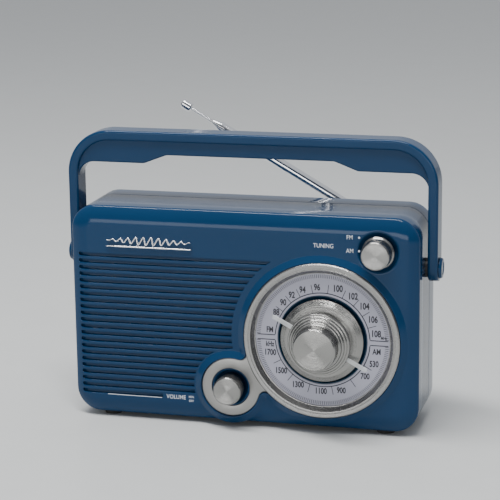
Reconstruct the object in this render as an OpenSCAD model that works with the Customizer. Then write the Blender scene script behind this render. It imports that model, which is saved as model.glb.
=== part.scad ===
// Portable two-band mains and battery radio with a folding handle and a whip antenna.
// X runs across the front, -Y is the front, Z is up, and the feet stand on Z = 0.
// "Depth" always means the distance behind the flat of the front panel.

/* [Cabinet] */
// Width of the cabinet across its side walls
cabinet_w = 255; // [230:1:320]
// Height of the cabinet without its feet
cabinet_h = 155; // [150:1:200]
// Depth of the cabinet, front panel to back wall
cabinet_d = 68; // [66:1:90]
// Depth of the rear half behind the parting line
rear_half_d = 23; // [22:1:30]
// Radius of the four corners seen from the front
corner_r = 18; // [16:1:24]
// Thickness of the side, top and back walls
wall = 3; // [2.5:0.1:4]
// Thickness of the front panel
panel_t = 3.5; // [3.2:0.1:5]
// Width of the soft roll around the front panel
crown_w = 14; // [8:1:15]
// Radius of that roll
crown_r = 22; // [18:1:30]
// Radius of the back edges
back_edge_r = 6; // [3:0.5:10]
// Width of the dark line between the halves
parting_gap = 0.5; // [0.2:0.1:1]
// Height of the rubber feet
foot_h = 3; // [2:0.5:6]
// Radius of the rubber feet
foot_r = 7; // [5:0.5:10]

/* [Louvres] */
// Number of grooves beside the dial
louvre_count = 22; // [10:1:24]
// Distance from one groove to the next
louvre_pitch = 4.9; // [4:0.1:5]
// Height of one groove
louvre_gap = 2.6; // [1.5:0.1:3]
// Depth of the grooves
louvre_depth = 2.7; // [2:0.1:3]
// Height of the lowest groove above the underside
louvre_low = 16.5; // [12:0.5:20]
// Distance of the groove ends from the left side wall
louvre_edge = 5.8; // [5:0.1:12]

/* [Dial] */
// Distance of the dial's centre from the right side wall
dial_edge = 68.5; // [68:0.5:80]
// Height of the dial's centre above the underside
dial_up = 65.5; // [64:0.5:80]
// Outer radius of the bright ring
bezel_r = 56.5; // [54:0.5:58]
// Radius of the printed dial that shows inside it
dial_r = 48.5; // [46:0.5:50]
// Inner radius of the printed dial
dial_hole_r = 32.5; // [32:0.5:36]
// Width of the raised cone around the ring
surround_w = 5; // [3:0.5:6]
// Height of that cone above the panel
surround_h = 3; // [2:0.5:4]
// Height of the bright ring above the panel
bezel_h = 4; // [3:0.5:6]
// Distance of the volume knob from the dial's centre, across
volume_across = 67; // [66:0.5:72]
// Distance of the volume knob from the dial's centre, down
volume_down = 38.5; // [36:0.5:42]
// Radius of the bright plate round the volume knob
volume_plate_r = 21.7; // [20:0.1:24]
// Radius of the well in that plate
volume_well_r = 14; // [13:0.5:16]
// Radius of the hollow blends between plate and ring
blend_r = 5; // [3:0.5:8]

/* [Knobs] */
// Radius of the tuning knob's wide skirt
skirt_r = 30; // [26:0.5:31]
// Radius of the tuning knob's middle step
step_r = 22.5; // [18:0.5:24]
// Radius of the tuning knob's grip
tuning_r = 15.5; // [12:0.5:17]
// Distance from the panel to the tuning knob's face
tuning_reach = 27; // [24:0.5:34]
// Reach of the two clear pointer arms
pointer_r = 38.5; // [34:0.5:44]
// Angle of the pointer above the right-hand horizontal
pointer_angle = 152; // [140:1:165]
// Radius of the volume knob
volume_r = 10.5; // [9:0.5:12]
// Distance from the panel to the volume knob's face
volume_reach = 13; // [10:0.5:18]
// Radius of the band knob
band_r = 11.7; // [10:0.1:12.5]
// Distance from the panel to the band knob's face
band_reach = 12; // [9:0.5:16]
// Radius of the well round the band knob
band_well_r = 14; // [13:0.5:16]
// Distance of the band knob from the right side wall
band_edge = 28.5; // [27:0.5:34]
// Distance of the band knob from the top
band_drop = 24; // [23:0.5:30]
// Radius of the control shafts
shaft_r = 3; // [2.5:0.5:4]
// Gap round a shaft that turns in a hole
running_gap = 0.05; // [0.02:0.01:0.09]
// Gap between pieces that pass each other
free_gap = 0.4; // [0.3:0.1:0.8]

/* [Badge] */
// Length of the bright ornament
badge_w = 67; // [40:1:80]
// Height of the bright ornament
badge_h = 9; // [6:0.5:12]
// Distance of its centre from the left side wall
badge_edge = 60; // [50:1:70]
// Distance of its centre from the top
badge_drop = 24.5; // [22:0.5:28]

/* [Handle] */
// Thickness of the handle's strap
strap_t = 7.3; // [6:0.1:10]
// Depth of the strap
strap_d = 18.7; // [15:0.1:24]
// Gap between each arm and the cabinet
arm_gap = 1.7; // [1.5:0.1:3]
// Height of the handle above the cabinet
handle_rise = 51; // [48:1:70]
// Outer corner radius of the handle
handle_r = 32; // [24:1:40]
// Height of the pivots above the underside
pivot_up = 114; // [100:1:120]
// Depth of the recessed web under the strap
web_d = 13.7; // [8:0.1:16]
// Distance from the handle's top to the web's lower edge near the arms
web_drop = 23.7; // [20:0.5:28]
// How much higher the web's edge is in the middle
web_step = 6.5; // [4:0.5:10]
// Half length of the raised middle of that edge
web_mid = 62; // [40:1:80]
// Radius of the pivot pins
pin_r = 4; // [3:0.5:5]
// Radius of the pivot caps
pin_cap_r = 7.5; // [6:0.5:9]

/* [Antenna] */
// Angle of the antenna above the horizontal
antenna_tilt = 30; // [10:1:60]
// Distance of the antenna's pivot from the right side wall
antenna_edge = 25.5; // [24:0.5:40]
// Distance of the antenna's pivot from the top
antenna_drop = 31; // [28:0.5:40]
// Distance of the antenna's axis behind the back wall
antenna_off = 8; // [7:0.5:12]
// Length of the outer tube from the pivot
mast_len = 158.5; // [120:0.5:170]
// Outer radius of the outer tube
mast_r = 3.65; // [3.65:0.05:4]
// How far each thinner tube stands out of the one before
tube_step = 1.5; // [1:0.5:3]
// Wall of every tube
tube_wall = 0.35; // [0.3:0.05:0.4]
// Gap between one tube and the next
tube_gap = 0.15; // [0.1:0.01:0.15]
// Radius of the tip rod
rod_r = 1.15; // [1:0.05:1.2]
// How far the tip rod is drawn out
rod_out = 19; // [0:1:30]
// Radius of the tip's cap
cap_r = 3.5; // [2.5:0.1:4]
// Length of the tip's cap
cap_len = 8; // [5:0.5:12]

/* [Inside] */
// Radius of the loudspeaker's frame
speaker_r = 41; // [36:0.5:42]
// Distance of the loudspeaker from the left side wall
speaker_edge = 63.5; // [60:0.5:70]
// Height of the loudspeaker's centre above the underside
speaker_up = 69; // [60:0.5:75]
// Diameter of one battery cell
cell_d = 26.2; // [26:0.1:27]
// Length of one battery cell
cell_l = 50; // [49:0.5:51]
// Room at each end of a row of cells for its contacts
contact_room = 3; // [2.5:0.1:5]
// Distance of the battery tray from the right side wall
tray_edge = 19; // [17:0.5:30]
// Height of the battery tray's floor above the underside
tray_up = 9; // [8:0.5:14]
// Depth of the front of the circuit board
board_depth = 28; // [26:0.5:30]
// Radius of the 3.5 mm sockets
jack_r = 1.75; // [1.75:0.01:1.8]

/* [Hidden] */
$fn = 72;
tiny = 0.01;

shell_blue = [0.05, 0.19, 0.36];
deep_blue = [0.03, 0.12, 0.26];
bright = [0.78, 0.78, 0.76];
chrome = [0.85, 0.86, 0.88];
dial_grey = [0.74, 0.74, 0.82];
black = [0.06, 0.06, 0.07];
steel = [0.6, 0.6, 0.62];
brass = [0.72, 0.58, 0.3];
board_green = [0.1, 0.35, 0.2];

// Overall places
front_y = -(tuning_reach + cabinet_d + antenna_off + mast_r) / 2 + tuning_reach;
left_x = -cabinet_w / 2;
right_x = cabinet_w / 2;
under_z = foot_h;
top_z = foot_h + cabinet_h;
parting_d = cabinet_d - rear_half_d;
inner_back_d = cabinet_d - wall;

// Places of the controls
dial_x = right_x - dial_edge;
dial_z = under_z + dial_up;
volume_x = dial_x - volume_across;
volume_z = dial_z - volume_down;
band_x = right_x - band_edge;
band_z = top_z - band_drop;
surround_r = bezel_r + surround_w;
volume_surround_r = volume_plate_r + surround_w;
face_d = 1.2;
face_t = 1.3;
hub_floor_d = 5;
hub_floor_t = 1.5;
seat_d = hub_floor_d + hub_floor_t;
seat_t = 1.5;
well_d = 3;
label_w = 52;

// Knob depths
skirt_back = 1;
skirt_t = 2.4;
step_reach = 12.5;
pointer_t = 1.5;
knob_back = 1.5;

// Places inside
speaker_x = left_x + speaker_edge;
speaker_z = under_z + speaker_up;
speaker_cut_r = speaker_r - 5;
cloth_t = 0.8;
speaker_d = panel_t + cloth_t;
board_t = 1.6;
board_back = board_depth + board_t;
board_x0 = volume_x - 10;
board_x1 = right_x - 19;
board_z0 = volume_z - 12;
board_z1 = top_z - 9;
post_r = 4;
screw_r = 1.5;
screw_head_r = 2.9;
screw_head_t = 2;
post_in = 11;
case_posts = [
    [left_x + post_in, under_z + post_in + 1], [right_x - post_in + 1, under_z + post_in + 1],
    [left_x + post_in, top_z - post_in - 1], [right_x - post_in + 1, top_z - post_in - 1],
    [volume_x - 17, under_z + post_in - 3], [dial_x - 30, top_z - 7.5]
];
board_posts = [
    [board_x0 + 5, volume_z + 22], [volume_x + 24, board_z0 + 4],
    [board_x1 - 5, dial_z + 34], [dial_x - 40, board_z1 - 11]
];
speaker_posts = [for (a = [45:90:315]) [speaker_x + (speaker_r + 5) * cos(a),
                                        speaker_z + (speaker_r + 5) * sin(a)]];

// Battery tray and door
tray_w = 2 * cell_l + 2 * contact_room;
tray_h = 2 * cell_d + 1.6;
tray_wall = 2;
tray_x1 = right_x - tray_edge;
tray_x0 = tray_x1 - tray_w;
tray_z0 = under_z + tray_up;
tray_z1 = tray_z0 + tray_h;
door_t = 2.4;
tray_front_d = cabinet_d - door_t - cell_d - 1.2;
door_hinge_r = 1.2;
door_lip = 2.2;
door_sill = 0.8;

// Handle places
pivot_d = cabinet_d / 2;
pivot_z = under_z + pivot_up;
arm_in_x = right_x + arm_gap;
arm_out_x = arm_in_x + strap_t;
handle_top_z = top_z + handle_rise;
web_z = handle_top_z - web_drop;
web_corner_r = 12;
web_slope_w = 17;

// Antenna places
antenna_x = right_x - antenna_edge;
antenna_z = top_z - antenna_drop;
antenna_d = cabinet_d + antenna_off;
swivel_r = 6;
elbow_r = 3.6;
tongue_t = 2.6;
elbow_pin_r = 1.2;
ear_t = 1.7;
tube_foot = 12;
collar_z = mast_len + 4 * tube_step;

// Back panel openings and sockets
vent_count = 9;
vent_pitch = 7;
vent_x0 = speaker_x - 28;
vent_x1 = speaker_x + 28;
vent_z0 = speaker_z - 22;
inlet_x = left_x + 34;
inlet_w = 17;
inlet_h = 9.4;
inlet_deep = 10;
sockets_z = under_z + 17;
headphone_x = inlet_x + 34;
aux_x = headphone_x + 18;
jack_len = 13;
jack_body_r = 4;

// Controls behind the panel
capacitor_front = 12;
control_d = 16;

// Loudspeaker
cone_open_r = speaker_r - 5;
coil_r = 10;
cone_back_d = speaker_d + 16;

// Aerial rod, transformer and cells
ferrite_r = 5;
ferrite_x0 = left_x + 24;
ferrite_len = 90;
ferrite_d = 22;
ferrite_z = top_z - 20;
core_w = 42;
core_h = 34;
core_x = inlet_x + 8;
core_z = sockets_z + 32;
core_d0 = inner_back_d - 20;
cell_depth = tray_front_d + cell_d / 2 + 0.4;

// Antenna clip
clip_x = antenna_x - mast_len + 28;
clip_hole = 7;

// ---------------------------------------------------------------- placing helpers

// Puts its children on the front panel, with their +Z pointing out towards the listener
module on_front(x, z, depth = 0) {
    translate([x, front_y + depth, z]) rotate([90, 0, 0]) children();
}

// Round bar that runs straight back from one depth to another
module rod_back(x, z, from, to, r) {
    on_front(x, z, to) cylinder(h = to - from, r = r);
}

// Tube that runs straight back from one depth to another
module pipe_back(x, z, from, to, r, hole_r) {
    on_front(x, z, to) difference() {
        cylinder(h = to - from, r = r);
        translate([0, 0, -1]) cylinder(h = to - from + 2, r = hole_r);
    }
}

// Block given by its two corners in width, depth and height
module block(x0, x1, d0, d1, z0, z1) {
    translate([x0, front_y + d0, z0]) cube([x1 - x0, d1 - d0, z1 - z0]);
}

// Upright plate whose outline is drawn as seen from the front
module plate(from, to) {
    translate([0, front_y + to, 0]) rotate([90, 0, 0]) linear_extrude(to - from) children();
}

// Outline of the cabinet as seen from the front, pulled in by inset
module cabinet_outline(inset) {
    r = corner_r - inset;
    w = cabinet_w - 2 * inset;
    h = cabinet_h - 2 * inset;
    translate([0, (top_z + under_z) / 2]) {
        square([w - 2 * r, h], center = true);
        square([w, h - 2 * r], center = true);
        for (x = [-1, 1], z = [-1, 1]) translate([x * (w / 2 - r), z * (h / 2 - r)]) circle(r);
    }
}

// Body that carries one edge profile all round the cabinet's outline.
// The profile's X is measured outwards from the corner centres and its Y is the depth.
module edge_sweep() {
    w = cabinet_w - 2 * corner_r;
    h = cabinet_h - 2 * corner_r;
    translate([0, front_y, (top_z + under_z) / 2]) mirror([0, 1, 0]) rotate([90, 0, 0]) {
        for (x = [-1, 1], z = [-1, 1]) translate([x * w / 2, z * h / 2, 0])
            rotate_extrude() children();
        for (side = [0, 1]) mirror([side, 0, 0]) translate([w / 2, h / 2, 0])
            rotate([90, 0, 0]) linear_extrude(h) children();
        for (side = [0, 1]) mirror([0, side, 0]) translate([-w / 2, h / 2, 0])
            rotate([90, 0, 90]) linear_extrude(w) children();
    }
}

module front_edge_profile() {
    flat_w = corner_r - crown_w;
    square([flat_w, parting_d]);
    translate([0, crown_r]) square([corner_r, parting_d - crown_r]);
    intersection() {
        square([corner_r, parting_d]);
        translate([flat_w, crown_r]) circle(crown_r);
    }
}

module rear_edge_profile() {
    translate([0, parting_d + parting_gap])
        square([corner_r, rear_half_d - parting_gap - back_edge_r]);
    translate([0, cabinet_d - back_edge_r - tiny])
        square([corner_r - back_edge_r, back_edge_r + tiny]);
    translate([corner_r - back_edge_r, cabinet_d - back_edge_r]) intersection() {
        circle(back_edge_r);
        translate([0, -tiny]) square([back_edge_r, back_edge_r + tiny]);
    }
}

module middle_block(from, to) {
    block(left_x + corner_r, right_x - corner_r, from, to, under_z + corner_r, top_z - corner_r);
}

// ---------------------------------------------------------------- louvres and trim outlines

module louvre_slots() {
    x0 = left_x + louvre_edge + louvre_gap / 2;
    difference() {
        for (i = [0:louvre_count - 1]) translate([x0, under_z + louvre_low + i * louvre_pitch]) {
            circle(louvre_gap / 2, $fn = 24);
            translate([0, -louvre_gap / 2]) square([dial_x - x0, louvre_gap]);
        }
        translate([dial_x, dial_z]) circle(surround_r + 5);
        translate([volume_x, volume_z]) circle(volume_surround_r + 1.3);
        translate([volume_x, under_z]) square([dial_x - volume_x, volume_z - under_z]);
        translate([volume_x - label_w, under_z]) square([label_w, louvre_low + 0.5 * louvre_pitch]);
    }
}

// Centre of a circle of radius blend that touches two circles from outside
function blend_centre(a, b, ra, rb, side) =
    let (d = norm(b - a), ux = (b - a) / d, uy = [-ux[1], ux[0]] * side,
         p = ra + blend_r, q = rb + blend_r,
         along = (p * p - q * q + d * d) / (2 * d))
    a + ux * along + uy * sqrt(p * p - along * along);

// Drop-shaped outline round the dial and the volume knob, grown by grow
module trim_outline(grow = 0) {
    a = [dial_x, dial_z];
    b = [volume_x, volume_z];
    ra = bezel_r + grow;
    rb = volume_plate_r + grow;
    up = blend_centre(a, b, ra, rb, 1);
    low = blend_centre(a, b, ra, rb, -1);
    translate(a) circle(ra);
    translate(b) circle(rb);
    difference() {
        polygon([a, up, b, low]);
        translate(up) circle(blend_r);
        translate(low) circle(blend_r);
    }
}

// ---------------------------------------------------------------- cabinet

module front_shell_body() {
    difference() {
        union() {
            edge_sweep() front_edge_profile();
            middle_block(0, parting_d);
        }
        plate(panel_t, panel_t + 6) cabinet_outline(wall + 6);
        plate(panel_t + 5.5, parting_d + 1) cabinet_outline(wall);
    }
}

module front_bosses() {
    // Raised cones round the ring and the plate, sunk into the roll at the bottom edge
    on_front(dial_x, dial_z) cylinder(h = surround_h, r1 = surround_r, r2 = bezel_r + 0.7);
    on_front(volume_x, volume_z)
        cylinder(h = surround_h - 0.5, r1 = volume_surround_r, r2 = volume_plate_r + 0.7);
    rod_back(dial_x, dial_z, 0, panel_t + tiny, surround_r);
    rod_back(volume_x, volume_z, 0, panel_t + tiny, volume_surround_r);
    // Seats of the hub ring, the volume well and the band well
    rod_back(dial_x, dial_z, panel_t, seat_d + seat_t, dial_hole_r + 3);
    rod_back(volume_x, volume_z, panel_t, well_d + 3, volume_well_r + 2);
    rod_back(band_x, band_z, panel_t, well_d + 3, band_well_r + 2);
    for (p = case_posts) rod_back(p[0], p[1], panel_t - tiny, parting_d, post_r);
    for (p = board_posts) rod_back(p[0], p[1], panel_t - tiny, board_depth, 3.2);
    for (p = speaker_posts) rod_back(p[0], p[1], panel_t - tiny, speaker_d, 3.2);
    for (s = [-1, 1]) translate([s * (right_x - wall / 2), front_y + pivot_d, pivot_z])
        rotate([0, -90 * s, 0]) cylinder(h = wall / 2 + 6, r = pin_r + 3);
}

module front_cabinet() {
    color(shell_blue) difference() {
        union() {
            front_shell_body();
            front_bosses();
        }
        plate(-0.01, louvre_depth) louvre_slots();
        rod_back(speaker_x, speaker_z, louvre_depth - 0.4, panel_t + 1, speaker_cut_r);
        // Recess of the trim plate, the dial and the hub ring
        plate(-surround_h - 1, 0) trim_outline(0);
        rod_back(dial_x, dial_z, -1, face_d + face_t, dial_r);
        rod_back(dial_x, dial_z, 0, seat_d, dial_hole_r);
        rod_back(dial_x, dial_z, 0, seat_d + seat_t + 1, dial_hole_r - 3);
        rod_back(volume_x, volume_z, -1, well_d + 1.2, volume_well_r);
        rod_back(volume_x, volume_z, 0, well_d + 4, shaft_r + 1);
        rod_back(band_x, band_z, -1, well_d, band_well_r);
        rod_back(band_x, band_z, 0, well_d + 4, shaft_r + 1);
        for (p = case_posts) rod_back(p[0], p[1], parting_d - 14, parting_d + 1, screw_r);
        for (p = board_posts) rod_back(p[0], p[1], board_depth - 8, board_depth + 1, 1.2);
        for (p = speaker_posts) rod_back(p[0], p[1], panel_t - 1.5, panel_t + 4, 1.2);
        translate([left_x - 1, front_y + pivot_d, pivot_z]) rotate([0, 90, 0])
            cylinder(h = cabinet_w + 2, r = pin_r);
        for (x = [-0.3 * badge_w, 0.3 * badge_w])
            rod_back(left_x + badge_edge + x, top_z - badge_drop, -1, panel_t + 1, 1);
    }
}

module rear_bosses() {
    for (p = case_posts)
        rod_back(p[0], p[1], parting_d + parting_gap, inner_back_d + tiny, post_r);
    rod_back(antenna_x, antenna_z, inner_back_d - 6, inner_back_d + tiny, shaft_r + 3);
    difference() {
        block(tray_x0 - tray_wall, tray_x1 + tray_wall, tray_front_d - tray_wall,
              inner_back_d + tiny, tray_z0 - tray_wall, tray_z1 + tray_wall);
        block(tray_x0, tray_x1, tray_front_d, cabinet_d, tray_z0, tray_z1);
    }
}

module rear_cabinet() {
    color(shell_blue) difference() {
        union() {
            difference() {
                union() {
                    edge_sweep() rear_edge_profile();
                    middle_block(parting_d + parting_gap, cabinet_d);
                }
                plate(parting_d, cabinet_d - back_edge_r) cabinet_outline(wall);
                plate(cabinet_d - back_edge_r - 1, inner_back_d) cabinet_outline(wall + 4);
            }
            rear_bosses();
        }
        // Mouth of the battery tray, with the sill that the door closes on
        block(tray_x0, tray_x1, tray_front_d + 1, cabinet_d + 1, tray_z0, tray_z1);
        block(tray_x0 - door_lip, tray_x1 + door_lip, cabinet_d - door_t, cabinet_d + 1,
              tray_z0 - door_sill, tray_z1 + door_lip);
        door_hinge_axis(-0.5) cylinder(h = tray_w + 2 * door_lip + 5, r = door_hinge_r + running_gap);
        for (i = [0:vent_count - 1])
            block(vent_x0, vent_x1, inner_back_d - 1, cabinet_d + 1,
                  vent_z0 + i * vent_pitch, vent_z0 + i * vent_pitch + 2.6);
        block(inlet_x - inlet_w / 2, inlet_x + inlet_w / 2, inner_back_d - 1, cabinet_d + 1,
              sockets_z - inlet_h / 2, sockets_z + inlet_h / 2);
        for (x = [headphone_x, aux_x])
            rod_back(x, sockets_z, inner_back_d - 1, cabinet_d + 1, jack_body_r);
        for (p = case_posts) {
            rod_back(p[0], p[1], parting_d - 1, cabinet_d + 1, screw_r);
            rod_back(p[0], p[1], cabinet_d - 3, cabinet_d + 1, screw_head_r);
        }
        rod_back(antenna_x, antenna_z, inner_back_d - 7, cabinet_d + 1, shaft_r + running_gap);
        for (z = [-1, 1]) rod_back(clip_x, antenna_z + z * clip_hole, inner_back_d - 1,
                                   cabinet_d + 1, 1);
    }
}

// Line along the door's lower edge, starting past the left end by more
module door_hinge_axis(more) {
    translate([tray_x0 - door_lip - 2 + more, front_y + cabinet_d - door_hinge_r - 0.4,
               tray_z0 + door_hinge_r])
        rotate([0, 90, 0]) children();
}

module battery_door() {
    gap = free_gap;
    x0 = tray_x0 - door_lip + gap;
    x1 = tray_x1 + door_lip - gap;
    color(shell_blue) difference() {
        union() {
            block(x0, x1, cabinet_d - door_t + 0.3, cabinet_d,
                  tray_z0 + door_hinge_r, tray_z1 + door_lip - gap);
            door_hinge_axis(0.5) cylinder(h = tray_w + 2 * door_lip + 3, r = door_hinge_r);
        }
        // Finger scoop in the outer face
        block((x0 + x1) / 2 - 9, (x0 + x1) / 2 + 9, cabinet_d - 0.9, cabinet_d + 1,
              tray_z1 - 6, tray_z1 - 1);
    }
}

module grille_cloth() {
    color(black) pipe_back(speaker_x, speaker_z, panel_t, panel_t + cloth_t, speaker_r, 0.01);
}

module rubber_feet() {
    color(black) for (x = [-1, 1], d = [foot_r + 7, cabinet_d - foot_r - 6])
        translate([x * (right_x - corner_r - foot_r), front_y + d, 0])
            cylinder(h = foot_h, r1 = foot_r - 0.6, r2 = foot_r);
}

module case_screws() {
    color(steel) for (p = case_posts) {
        rod_back(p[0], p[1], parting_d - 12, cabinet_d - 3, screw_r);
        rod_back(p[0], p[1], cabinet_d - 3, cabinet_d - 3 + screw_head_t, screw_head_r);
    }
}

// ---------------------------------------------------------------- dial and controls

module dial_trim() {
    color(bright) difference() {
        union() {
            plate(-1.6, 0) trim_outline(0);
            on_front(dial_x, dial_z) rotate_extrude() polygon([
                [dial_r, 0], [bezel_r, 0], [bezel_r, bezel_h - 1], [bezel_r - 1, bezel_h],
                [bezel_r - 3.2, bezel_h], [dial_r + 2.4, 2.2], [dial_r, 1]
            ]);
        }
        rod_back(dial_x, dial_z, -bezel_h - 1, 1, dial_r);
        rod_back(volume_x, volume_z, -3, 1, volume_well_r);
    }
}

module dial_face() {
    color(dial_grey) pipe_back(dial_x, dial_z, face_d, face_d + face_t, dial_r, dial_hole_r);
}

module dial_hub_ring() {
    color(deep_blue) {
        pipe_back(dial_x, dial_z, face_d - 0.6, hub_floor_d, dial_hole_r, dial_hole_r - 1.3);
        pipe_back(dial_x, dial_z, hub_floor_d, seat_d, dial_hole_r, shaft_r + 0.5);
    }
}

module volume_well_ring() {
    color(shell_blue) {
        pipe_back(volume_x, volume_z, -0.4, well_d, volume_well_r, volume_well_r - 1.2);
        pipe_back(volume_x, volume_z, well_d, well_d + 1.2, volume_well_r, shaft_r + 0.5);
    }
}

module ornament() {
    x = left_x + badge_edge;
    z = top_z - badge_drop;
    r = badge_h / 2;
    color(chrome) {
        plate(-1.8, 0) translate([x, z]) {
            circle(r);
            translate([-badge_w / 2 + 1, -1]) square([badge_w - 2, 2]);
            for (s = [-1, 1], i = [1:3])
                translate([s * (r + 6.5 * i) - 2, -0.5 * r + 0.3 * i]) square([4, r - 0.6 * i]);
        }
        for (s = [-0.3, 0.3]) rod_back(x + s * badge_w, z, -tiny, panel_t, 1);
    }
}

module tuning_knob() {
    color(bright) difference() {
        union() {
            rod_back(dial_x, dial_z, -tuning_reach + 1, -step_reach, tuning_r);
            on_front(dial_x, dial_z, -tuning_reach + 1)
                cylinder(h = 1, r1 = tuning_r, r2 = tuning_r - 1);
            rod_back(dial_x, dial_z, -step_reach, -step_reach + 4, step_r);
            rod_back(dial_x, dial_z, -step_reach + 4, skirt_back, tuning_r);
        }
        rod_back(dial_x, dial_z, -tuning_reach + 4, skirt_back + 1, shaft_r);
    }
}

module tuning_knob_skirt() {
    color(bright) on_front(dial_x, dial_z, skirt_back) difference() {
        union() {
            cylinder(h = skirt_t, r = skirt_r);
            translate([0, 0, skirt_t]) cylinder(h = 2, r1 = skirt_r - 1, r2 = skirt_r - 4);
        }
        translate([0, 0, -1]) cylinder(h = 8, r = tuning_r);
    }
}

module dial_pointer() {
    arm_w = 3;
    from = -step_reach + 4;
    color(chrome, 0.4) on_front(dial_x, dial_z, from + pointer_t) difference() {
        union() {
            cylinder(h = pointer_t, r = step_r - 0.5);
            rotate([0, 0, pointer_angle]) translate([-pointer_r, -arm_w / 2, 0])
                cube([2 * pointer_r, arm_w, pointer_t]);
        }
        translate([0, 0, -1]) cylinder(h = pointer_t + 2, r = tuning_r);
    }
}

module tuning_shaft() {
    color(steel) {
        rod_back(dial_x, dial_z, -tuning_reach + 4, capacitor_front + 4, shaft_r);
        rod_back(dial_x, dial_z, capacitor_front + 4, board_depth - 3, 8);
    }
}

module tuning_capacitor() {
    s = 12.5;
    color(steel) difference() {
        block(dial_x - s, dial_x + s, capacitor_front, board_depth, dial_z - s, dial_z + s);
        rod_back(dial_x, dial_z, capacitor_front + 3.6, board_depth - 2.6, 8.4);
        rod_back(dial_x, dial_z, capacitor_front - 1, capacitor_front + 5, shaft_r + running_gap);
    }
}

// Small knob with a chamfered face and a blind hole for its shaft
module small_knob(x, z, reach, r) {
    color(bright) difference() {
        union() {
            rod_back(x, z, -reach + 1, knob_back, r);
            on_front(x, z, -reach + 1) cylinder(h = 1, r1 = r, r2 = r - 1);
        }
        rod_back(x, z, -reach + 3, knob_back + 1, shaft_r);
    }
}

module control_shaft(x, z, reach, body_d, disc_r) {
    color(steel) {
        rod_back(x, z, -reach + 3, body_d + 3, shaft_r);
        rod_back(x, z, body_d + 3, body_d + 6, disc_r);
    }
}

module control_hollow(x, z, body_d, disc_r) {
    rod_back(x, z, body_d - 1, body_d + 4, shaft_r + running_gap);
    rod_back(x, z, body_d + 2.6, body_d + 6.4, disc_r + free_gap);
}

module volume_knob() { small_knob(volume_x, volume_z, volume_reach, volume_r); }
module volume_shaft() { control_shaft(volume_x, volume_z, volume_reach, control_d, 6); }

module volume_control() {
    color(steel) difference() {
        rod_back(volume_x, volume_z, control_d, board_depth, 8.5);
        control_hollow(volume_x, volume_z, control_d, 6);
    }
}

module band_knob() {
    notch_angle = 150;
    difference() {
        small_knob(band_x, band_z, band_reach, band_r);
        on_front(band_x, band_z, -band_reach + 2) rotate([0, 0, notch_angle])
            translate([band_r - 3, -0.6, 0]) cube([4, 1.2, 4]);
    }
}

module band_shaft() { control_shaft(band_x, band_z, band_reach, control_d, 5); }

module band_switch() {
    s = 8;
    color(black) difference() {
        block(band_x - s, band_x + s, control_d, board_depth, band_z - s, band_z + s);
        control_hollow(band_x, band_z, control_d, 5);
    }
}

// ---------------------------------------------------------------- loudspeaker

module speaker_frame() {
    color(black) difference() {
        union() {
            rod_back(speaker_x, speaker_z, speaker_d, speaker_d + 1.5, speaker_r);
            on_front(speaker_x, speaker_z, cone_back_d + 4)
                cylinder(h = cone_back_d + 4 - speaker_d, r1 = coil_r + 6, r2 = speaker_r - 1);
            for (a = [45:90:315]) on_front(speaker_x, speaker_z, speaker_d + 1.5)
                rotate([0, 0, a]) translate([speaker_r - 2, -4, 0]) cube([11, 8, 1.5]);
        }
        on_front(speaker_x, speaker_z, cone_back_d + 2)
            cylinder(h = cone_back_d + 2 - speaker_d + tiny, r1 = coil_r + 3, r2 = speaker_r - 3);
        rod_back(speaker_x, speaker_z, cone_back_d, cone_back_d + 5, coil_r + 1);
        rod_back(speaker_x, speaker_z, speaker_d - 1, speaker_d + 0.5, speaker_r - 3);
        for (p = speaker_posts) rod_back(p[0], p[1], speaker_d - 1, speaker_d + 4, 1.5);
    }
}

module speaker_cone() {
    color(black) on_front(speaker_x, speaker_z, cone_back_d) difference() {
        cylinder(h = cone_back_d - speaker_d - 1, r1 = coil_r, r2 = cone_open_r);
        translate([0, 0, -0.5])
            cylinder(h = cone_back_d - speaker_d, r1 = coil_r - 1.2, r2 = cone_open_r - 0.6);
    }
}

module speaker_dust_cap() {
    r = coil_r + 0.4;
    color(black) on_front(speaker_x, speaker_z, cone_back_d - 1) intersection() {
        translate([0, 0, -r * 0.8]) sphere(r * 1.25);
        cylinder(h = r, r = r - 1);
    }
}

module speaker_magnet() {
    color(steel) {
        rod_back(speaker_x, speaker_z, cone_back_d + 4, cone_back_d + 12, 20);
        rod_back(speaker_x, speaker_z, cone_back_d, cone_back_d + 4, coil_r + 1);
    }
}

module speaker_screws() {
    color(steel) for (p = speaker_posts) {
        rod_back(p[0], p[1], panel_t - 1, speaker_d + 1.5, 1.2);
        rod_back(p[0], p[1], speaker_d + 1.5, speaker_d + 3, 2.4);
    }
}

// ---------------------------------------------------------------- electronics

module circuit_board() {
    color(board_green) difference() {
        block(board_x0, board_x1, board_depth, board_back, board_z0, board_z1);
        for (p = board_posts) rod_back(p[0], p[1], board_depth - 1, board_back + 1, 1.6);
        for (p = case_posts) rod_back(p[0], p[1], board_depth - 1, board_back + 1, post_r + 1);
    }
}

module board_screws() {
    color(steel) for (p = board_posts) {
        rod_back(p[0], p[1], board_depth - 7, board_back, 1.2);
        rod_back(p[0], p[1], board_back, board_back + 1.6, 2.4);
    }
}

module amplifier_chip() {
    color(black) block(dial_x - 12, dial_x + 8, board_back, board_back + 3.5,
                       tray_z1 + 14, tray_z1 + 21);
}

module filter_capacitors() {
    color(black) for (i = [0:2])
        rod_back(dial_x + 22 + i * 12, tray_z1 + 22, board_back, board_back + 12, 4);
}

module tuned_coils() {
    color(chrome) for (i = [0:3])
        block(dial_x - 44 + i * 11, dial_x - 36 + i * 11, board_back, board_back + 9,
              tray_z1 + 30, tray_z1 + 38);
}

module ferrite_rod() {
    color(black) translate([ferrite_x0, front_y + ferrite_d, ferrite_z]) rotate([0, 90, 0])
        cylinder(h = ferrite_len, r = ferrite_r);
}

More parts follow.
